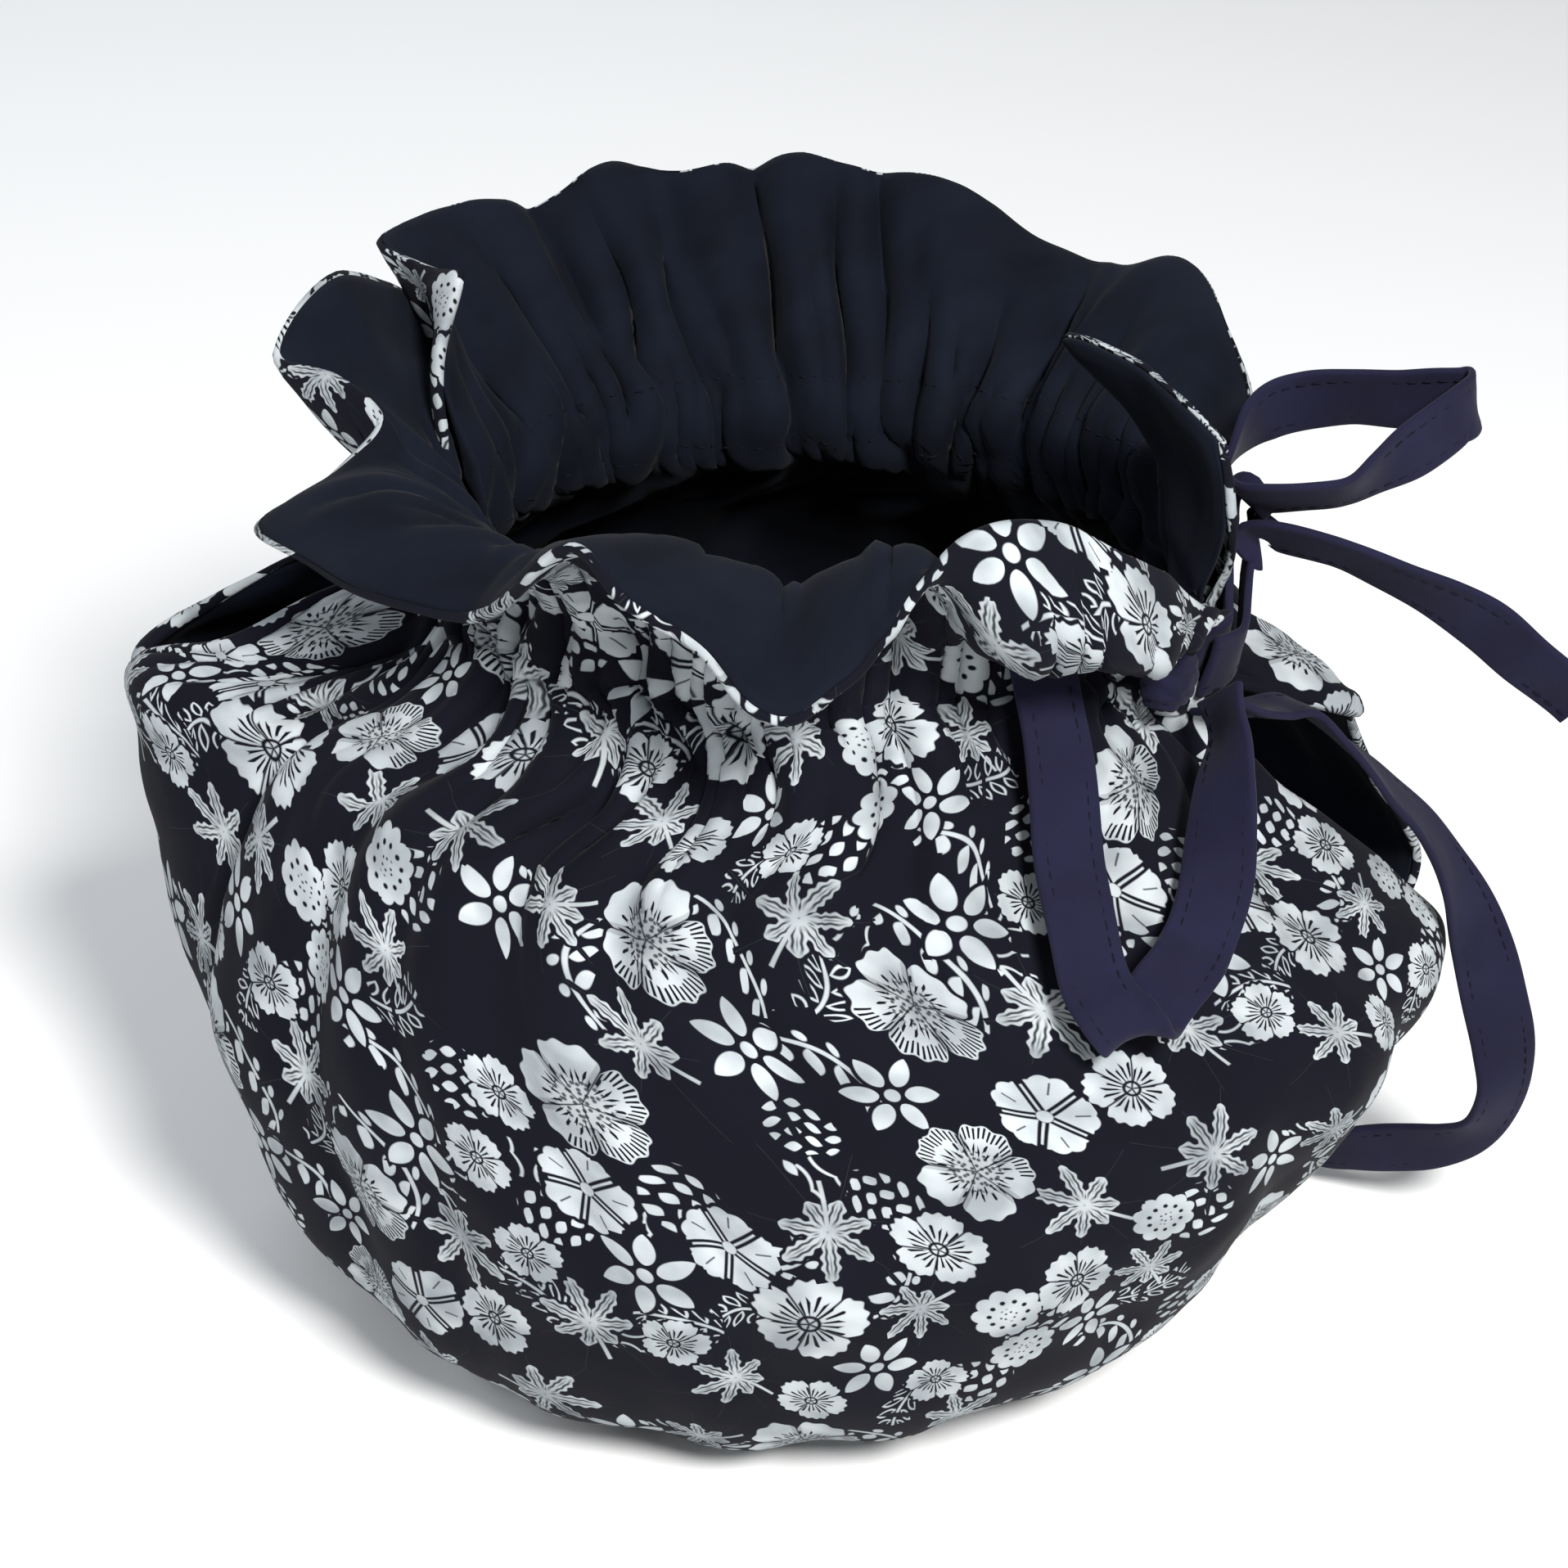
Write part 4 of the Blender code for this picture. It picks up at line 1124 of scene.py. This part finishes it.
# For each place along a tie: x, y and z of its middle from the neck's axis, and which way its width lies.
TIES = {
    "tie_loop_front": (
        (31, -47.2, 124.2, 0.85, 0.5, -0.05), (32.5, -49.8, 118.5, 0.88, 0.47, -0.05),
        (33.8, -54, 112.3, 0.9, 0.42, -0.1), (34.5, -59, 107.5, 0.95, 0.35, -0.1),
        (35, -67, 100.5, 0.9, 0.4, 0.00), (36.5, -74.5, 94, 0.85, 0.5, 0.1),
        (38, -79, 88.5, 0.85, 0.5, 0.2), (40, -82.5, 86, 0.85, 0.45, 0.2),
        (42.5, -83.3, 83.4, 0.93, 0.33, 0.15), (44, -81.5, 82, 0.95, 0.25, 0.15),
        (45.5, -78.8, 82.8, 0.95, 0.25, 0.05), (48, -76, 85, 0.92, 0.3, -0.1),
        (51, -72.5, 87, 0.9, 0.3, -0.2), (53.5, -67.5, 88.5, 0.9, 0.2, -0.2),
        (56, -62, 93.5, 0.9, -0.05, -0.1), (57, -56.5, 98.5, 0.9, -0.45, 0.1),
        (58, -49.5, 104, 0.65, -0.75, 0.25), (58.8, -43.5, 108.5, 0.35, -0.9, 0.3),
        (57.8, -39.6, 113, 0.55, -0.75, 0.4),
    ),
    "tie_loop_upper": (
        (55, -29.6, 113, 0.15, -0.15, 0.95), (60, -23.6, 113, 0.05, -0.35, 0.9),
        (61.3, -17, 115.6, 0.00, -0.55, 0.83), (61.4, -11.5, 120.8, 0.00, -0.88, 0.45),
        (61.7, -9.8, 126.5, 0.00, -0.97, 0.2), (62.8, -11, 131, 0.15, -0.9, 0.4),
        (65, -14.5, 132.2, -0.1, -0.75, 0.65), (72.5, -17, 133.5, -0.2, -0.75, 0.65),
        (78, -17, 134.5, -0.2, -0.75, 0.65), (82.5, -16, 137, -0.35, -0.6, 0.75),
        (87, -14.5, 139.5, -0.45, -0.35, 0.8), (91.5, -12.5, 142, -0.45, -0.3, 0.85),
        (94.5, -11, 144, -0.3, -0.3, 0.9), (96.5, -8.5, 144.5, -0.25, -0.3, 0.95),
        (96.5, -6, 144.5, -0.15, -0.3, 0.95), (93.5, -4.5, 144, -0.05, -0.3, 0.95),
        (87.5, -2.5, 143, 0.00, -0.3, 0.95), (80, -1.5, 143, 0.00, -0.35, 0.95),
        (72.5, -1, 142, 0.00, -0.25, 0.95), (66.5, -3, 140.3, 0.00, -0.25, 0.95),
        (61.2, -6, 134, -0.1, -0.9, 0.4), (59.9, -8.2, 128.5, -0.1, -0.95, 0.2),
    ),
    "tie_end_long": (
        (57.1, -30.7, 112.4, 0.15, -0.15, 0.95), (62.1, -24.4, 112, 0.05, -0.4, 0.88),
        (63.8, -17.2, 114.6, 0.00, -0.55, 0.83), (64.7, -11.8, 119.2, 0.00, -0.88, 0.45),
        (65.6, -10.8, 123.2, 0.00, -0.96, 0.25), (66.5, -13.5, 126, 0.05, -0.75, 0.65),
        (74.5, -16, 125, 0.1, -0.75, 0.65), (80, -17, 123.5, 0.1, -0.75, 0.65),
        (87, -18, 120.5, 0.15, -0.7, 0.7), (93.5, -19, 117.5, 0.25, -0.55, 0.8),
        (99.5, -20, 114, 0.4, -0.45, 0.8), (105.5, -21, 109, 0.4, -0.45, 0.8),
        (112, -22, 104, 0.45, -0.5, 0.75), (114, -22.5, 102.5, 0.45, -0.45, 0.75),
    ),
    "tie_end_curled": (
        (58.3, -33.4, 107.6, -0.55, 0.4, -0.3), (62.6, -30.3, 105, -0.65, 0.6, -0.25),
        (67.2, -26.4, 103.8, -0.6, 0.75, -0.1), (72.5, -24, 103, -0.4, 0.9, -0.15),
        (79, -23, 96.5, -0.1, 0.95, -0.25), (86.5, -21.5, 88.5, 0.3, 0.9, -0.25),
        (93, -20, 81, 0.4, 0.9, -0.25), (99, -19.5, 71, 0.65, 0.75, -0.2),
        (103.5, -19, 60, 0.9, 0.35, 0.05), (106.5, -18.5, 50, 1.00, 0.1, 0.1),
        (109, -17.5, 41, 1.00, 0.2, -0.1), (110, -16.5, 32.5, 0.8, 0.5, -0.4),
        (108.5, -14.5, 25, 0.6, 0.55, -0.6), (104.5, -11.5, 19.5, 0.5, 0.35, -0.8),
        (99, -8, 16, 0.3, 0.2, -0.95), (93, -4, 13, 0.1, 0.3, -0.95),
        (86.5, 0, 10.5, -0.05, 0.45, -0.9), (81, 5, 9, -0.15, 0.55, -0.8),
    ),
}
STEPS_A_TIE_ROW = 6
STRANDS = 12                # columns of faces across a tie
STITCH_FROM_EDGE = 1.9


def tie_frame(table, place):
    """The middle of a tie at a place between rows, and the directions across it and out of it."""
    values = between_rows(table, place)
    before = Vector(between_rows(table, max(place - 0.1, 0.0))[:3])
    after = Vector(between_rows(table, min(place + 0.1, len(table) - 1))[:3])
    along = (after - before).normalized()
    across = Vector(values[3:])
    across = (across - across.dot(along) * along).normalized()
    middle = Vector(values[:3]) * MM + Vector((NECK_X * MM, NECK_Y * MM, 0.0))
    return middle, across, across.cross(along)


def tie_relief(x, run, seed):
    """Height of a tie's surface beside its middle: pressed at the stitches, slightly rumpled."""
    off = (abs(x) - (TIE_WIDTH / 2 - STITCH_FROM_EDGE)) / 0.5
    pucker = 0.12 * math.sin(run * 2.1) * math.exp(-off * off)
    return 0.35 * noise.noise(Vector((x / 6.0, run / 9.0, seed))) + pucker


def tie_mesh(name, table, seed):
    """A tie's mesh, its length in millimetres, and the frames along it."""
    steps = (len(table) - 1) * STEPS_A_TIE_ROW
    frames = [tie_frame(table, k / STEPS_A_TIE_ROW) for k in range(steps + 1)]
    runs = [0.0]
    for a, b in zip(frames, frames[1:]):
        runs.append(runs[-1] + (b[0] - a[0]).length / MM)
    shape = bmesh.new()
    bmesh.ops.create_grid(shape, x_segments=STRANDS, y_segments=steps, size=0.5)
    flat = {}
    for vertex in shape.verts:
        k = round((vertex.co.y + 0.5) * steps)
        x = vertex.co.x * TIE_WIDTH
        middle, across, out = frames[k]
        vertex.co = middle + across * (x * MM) + out * (tie_relief(x, runs[k], seed) * MM)
        flat[vertex] = (x, runs[k])
    return into_mesh(shape, name, flat), runs[-1], frames


TIE_PIECES, TIE_LENGTHS, TIE_FRAMES = {}, {}, {}
for seed, (name, table) in enumerate(TIES.items()):
    mesh, length, frames = tie_mesh(name + "_cloth", table, seed)
    piece = finished(name + "_cloth", mesh,
                     ("SOLIDIFY", {"thickness": TIE_THICKNESS * MM, "offset": 0.0, "use_rim": True}),
                     ("SUBSURF", {"levels": 1, "render_levels": 1}))
    piece.data.materials.clear()
    piece.data.materials.append(CLOTHS["tie"])
    TIE_PIECES[name], TIE_LENGTHS[name], TIE_FRAMES[name] = piece, length, frames
    print(name, round(length, 1), "mm long,", len(piece.data.polygons), "faces")

# %% [markdown]
# ## The knot
# The bow's knot is the tie wound once round itself. It is drawn as a tight ball of cloth with the
# turns pressed into it: slanting ridges with narrow grooves between them.

# %% Knot
KNOT_DEG, KNOT_R, KNOT_Z = -35.0, 62.4, 113.4
KNOT_SIZE = (6.8, 10.8, 10.0)
KNOT_TURNS = 3.2


def knot_piece():
    """A ball, squared a little, with slanting grooves, laid against the channel."""
    shape = bmesh.new()
    bmesh.ops.create_uvsphere(shape, u_segments=64, v_segments=40, radius=0.5)
    for vertex in shape.verts:
        around = math.atan2(vertex.co.y, vertex.co.z)
        turn = (vertex.co.y * 0.9 + vertex.co.z * 1.5 + 0.1 * math.sin(3 * around)) * KNOT_TURNS
        groove = abs(math.sin(math.pi * turn)) ** 0.5
        squared = Vector((abs(c * 2) ** 0.75 * (0.5 if c > 0 else -0.5) for c in vertex.co))
        vertex.co = squared * (0.88 + 0.10 * groove + 0.03 * noise.noise(squared * 7))
    flat = {vertex: (vertex.co.y * 12.0, vertex.co.z * 12.0) for vertex in shape.verts}
    turn = Matrix.Rotation(math.radians(KNOT_DEG), 4, "Z")
    place = Matrix.Translation(on_circle(KNOT_DEG, KNOT_R, KNOT_Z)) @ turn
    size = Matrix.Diagonal((*(side * MM for side in KNOT_SIZE), 1.0))
    bmesh.ops.transform(shape, matrix=place @ size, verts=shape.verts)
    return finished("knot_cloth", into_mesh(shape, "knot_cloth", flat))


KNOT = knot_piece()
KNOT.data.materials.append(CLOTHS["tie"])
print("knot:", len(KNOT.data.polygons), "faces")

# %% [markdown]
# ## Stitches
# Machine stitches are short threads that sink into the cloth at both ends. Each is a tiny stretched
# ball, laid along the seam and half sunk. A few dozen faces are enough for something a third of a
# millimetre thick, and all the stitches of one seam are one piece.

# %% Rows of stitches
# How long a stitch is, how far apart stitches start, and how thick the thread is, in millimetres.
CHANNEL_STITCH, TIE_STITCH = (2.0, 2.7, 0.42), (1.7, 2.3, 0.30)
SUNK = 0.10                 # how far a stitch's middle lies under the cloth's face
FACES_A_STITCH = 20


def stitch_row(shape, line, stitch):
    """Stitches along a line of points and outward directions, into a bmesh."""
    long, pitch, thick = (size * MM for size in stitch)
    run, next_at = 0.0, 0.4 * pitch
    for (a, way), (b, _) in zip(line, line[1:]):
        length = (b - a).length
        while length > 0 and run + length >= next_at:
            middle = a.lerp(b, (next_at - run) / length)
            along = (b - a).normalized()
            up = (way - way.dot(along) * along).normalized()
            side = up.cross(along)
            turn = Matrix((along, side, up)).transposed().to_4x4()
            size = Matrix.Diagonal((long, thick, thick, 1.0))
            place = Matrix.Translation(middle - up * (SUNK * MM))
            bmesh.ops.create_icosphere(shape, subdivisions=1, radius=0.5, matrix=place @ turn @ size)
            next_at += pitch
        run += length


def net_line(panel, kind, stop, out):
    """A line across a panel at a stop, on the face of one layer."""
    net, ways = NETS[panel, kind]
    stops = PRINT_STOPS if kind == "print" else LINING_STOPS
    j = min(range(len(stops)), key=lambda n: abs(stops[n] - stop))
    return [(net[i][j] + ways[i][j] * out, ways[i][j] * math.copysign(1, out)) for i in range(len(net))]


def stitch_piece(name, lines, stitch):
    """All the stitches of one seam, as one piece."""
    shape = bmesh.new()
    for line in lines:
        stitch_row(shape, line, stitch)
    piece = finished(name, into_mesh(shape, name))
    piece.data.materials.append(THREAD)
    print(name, len(piece.data.polygons) // FACES_A_STITCH, "stitches")
    return piece


def thread_material(name, colour):
    """Spun thread: thin twisted plies, seen as slanting stripes, with painted shade in the grooves between
    them.
    """
    made, tree, shader = new_material(name)
    where = tree.nodes.new("ShaderNodeTexCoord")
    plies = tree.nodes.new("ShaderNodeTexWave")
    plies.inputs["Scale"].default_value = 900.0
    plies.inputs["Distortion"].default_value = 1.5
    tree.links.new(where.outputs["Object"], plies.inputs["Vector"])
    light = Reading(tree, plies.outputs["Fac"])
    # the dark stripes are painted shade in the grooves between the plies
    ply_groove_shade = tuple(0.6 * c for c in colour)
    tree.links.new(mixed(tree, light, ply_groove_shade, colour), shader.inputs["Base Color"])
    tree.links.new((0.7 + 0.2 * light).socket, shader.inputs["Roughness"])
    shader.inputs["Specular IOR Level"].default_value = 0.1
    return made


THREAD = thread_material("navy_thread", COLOURS["thread"])
STITCHES = {}
for panel in ("front", "back"):
    outside = [net_line(panel, "print", row, PRINT_OUT + CLOTH / 2) for row in STITCH_ROWS]
    inside = [net_line(panel, "lining", row, -(LINING_IN + CLOTH / 2)) for row in STITCH_ROWS]
    STITCHES[panel, "print"] = stitch_piece("channel_stitches_out_" + panel, outside, CHANNEL_STITCH)
    STITCHES[panel, "lining"] = stitch_piece("channel_stitches_in_" + panel, inside, CHANNEL_STITCH)


def tie_stitch_lines(name):
    """Lines beside both edges of a tie, on both of its faces."""
    lines = []
    for side in (-1, 1):
        for face in (-1, 1):
            x = side * (TIE_WIDTH / 2 - STITCH_FROM_EDGE)
            lines.append([
                (middle + across * (x * MM) + out * (face * (TIE_THICKNESS / 2) * MM), out * face)
                for middle, across, out in TIE_FRAMES[name]
            ])
    return lines


for name in TIES:
    STITCHES[name] = stitch_piece(name + "_stitches", tie_stitch_lines(name), TIE_STITCH)

# %% [markdown]
# ## The floor, the light and the camera
# The cosy stands on a plain pale floor. The main light stands to the right of the camera, and high,
# as a window would: the left side of the bag is in soft shade, and the folds of the far lining show.
# Two weaker lights and a pale surround fill the shadows.

# %% Floor
shape = bmesh.new()
bmesh.ops.create_grid(shape, x_segments=1, y_segments=1, size=3.0)
floor = bpy.data.objects.new("floor", into_mesh(shape, "floor"))
bpy.context.scene.collection.objects.link(floor)
pale, tree, shader = new_material("pale_floor")
shader.inputs["Base Color"].default_value = (*COLOURS["floor"], 1.0)
shader.inputs["Roughness"].default_value = 0.8
floor.data.materials.append(pale)
floor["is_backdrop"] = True
print("floor:", [round(side, 1) for side in floor.dimensions], "m")


# %% Light
def soft_light(name, spot, target, size, power, colour):
    """A round area light that is aimed at a point; size in metres, power in watts."""
    lamp = bpy.data.lights.new(name, "AREA")
    lamp.shape, lamp.size, lamp.energy, lamp.color = "DISK", size, power, colour
    holder = bpy.data.objects.new(name, lamp)
    holder.location = spot
    holder.rotation_euler = (Vector(target) - Vector(spot)).to_track_quat("-Z", "Y").to_euler()
    bpy.context.scene.collection.objects.link(holder)


soft_light("window", (0.36, -0.92, 0.92), (0.0, 0.0, 0.07), 0.32, 27.0, (1.0, 0.99, 0.97))
soft_light("room", (-0.9, -0.5, 0.8), (0.0, 0.0, 0.07), 0.6, 4.0, (0.93, 0.96, 1.0))
soft_light("behind", (-0.3, 0.9, 0.9), (0.0, 0.0, 0.1), 0.8, 4.0, (0.90, 0.95, 1.0))
world = bpy.data.worlds.new("studio")
world.use_nodes = True
world.node_tree.nodes["Background"].inputs["Color"].default_value = (0.95, 0.97, 1.0, 1.0)
world.node_tree.nodes["Background"].inputs["Strength"].default_value = 0.33
bpy.context.scene.world = world
bpy.context.scene.view_settings.view_transform = "Standard"
print("lights:", [lamp.name for lamp in bpy.data.lights])

# %% Camera
LOOK_AT = Vector((-9.35, 0.0, 78.0)) * MM
DISTANCE, RISE = 0.550, math.radians(27.0)
lens = bpy.data.cameras.new("camera")
lens.lens, lens.sensor_width = 80.6, 36.0
camera = bpy.data.objects.new("camera", lens)
camera.location = LOOK_AT + Vector((0.0, -math.cos(RISE), math.sin(RISE))) * DISTANCE
camera.rotation_euler = (LOOK_AT - camera.location).to_track_quat("-Z", "Y").to_euler()
bpy.context.scene.collection.objects.link(camera)
bpy.context.scene.camera = camera
print("camera at", [round(c, 4) for c in camera.location])

# %% [markdown]
# ## Handing the pieces to the frame
# Nothing here moves by itself, so every piece rides on the one body. Each cloth piece takes the
# place of a solid.

# %% Ride and replace
NODES = {"print": "outer_", "lining": "lining_"}
for (panel, kind), piece in PANELS.items():
    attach(piece, "root")
    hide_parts(NODES[kind] + panel)
for (panel, kind), piece in PANELS.items():
    others = [PANELS[panel, "lining" if kind == "print" else "print"].name]
for name, piece in TIE_PIECES.items():
    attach(piece, "root")
    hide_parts(name)
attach(KNOT, "root")
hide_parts("tie_knot")
for key, piece in STITCHES.items():
    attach(piece, "root")

# %% Compare the sizes and finish
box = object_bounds()
for label, corners in (("solids", SOLIDS_BOX), ("visual", box)):
    print(label, [[round(c / MM, 1) for c in corner] for corner in corners])
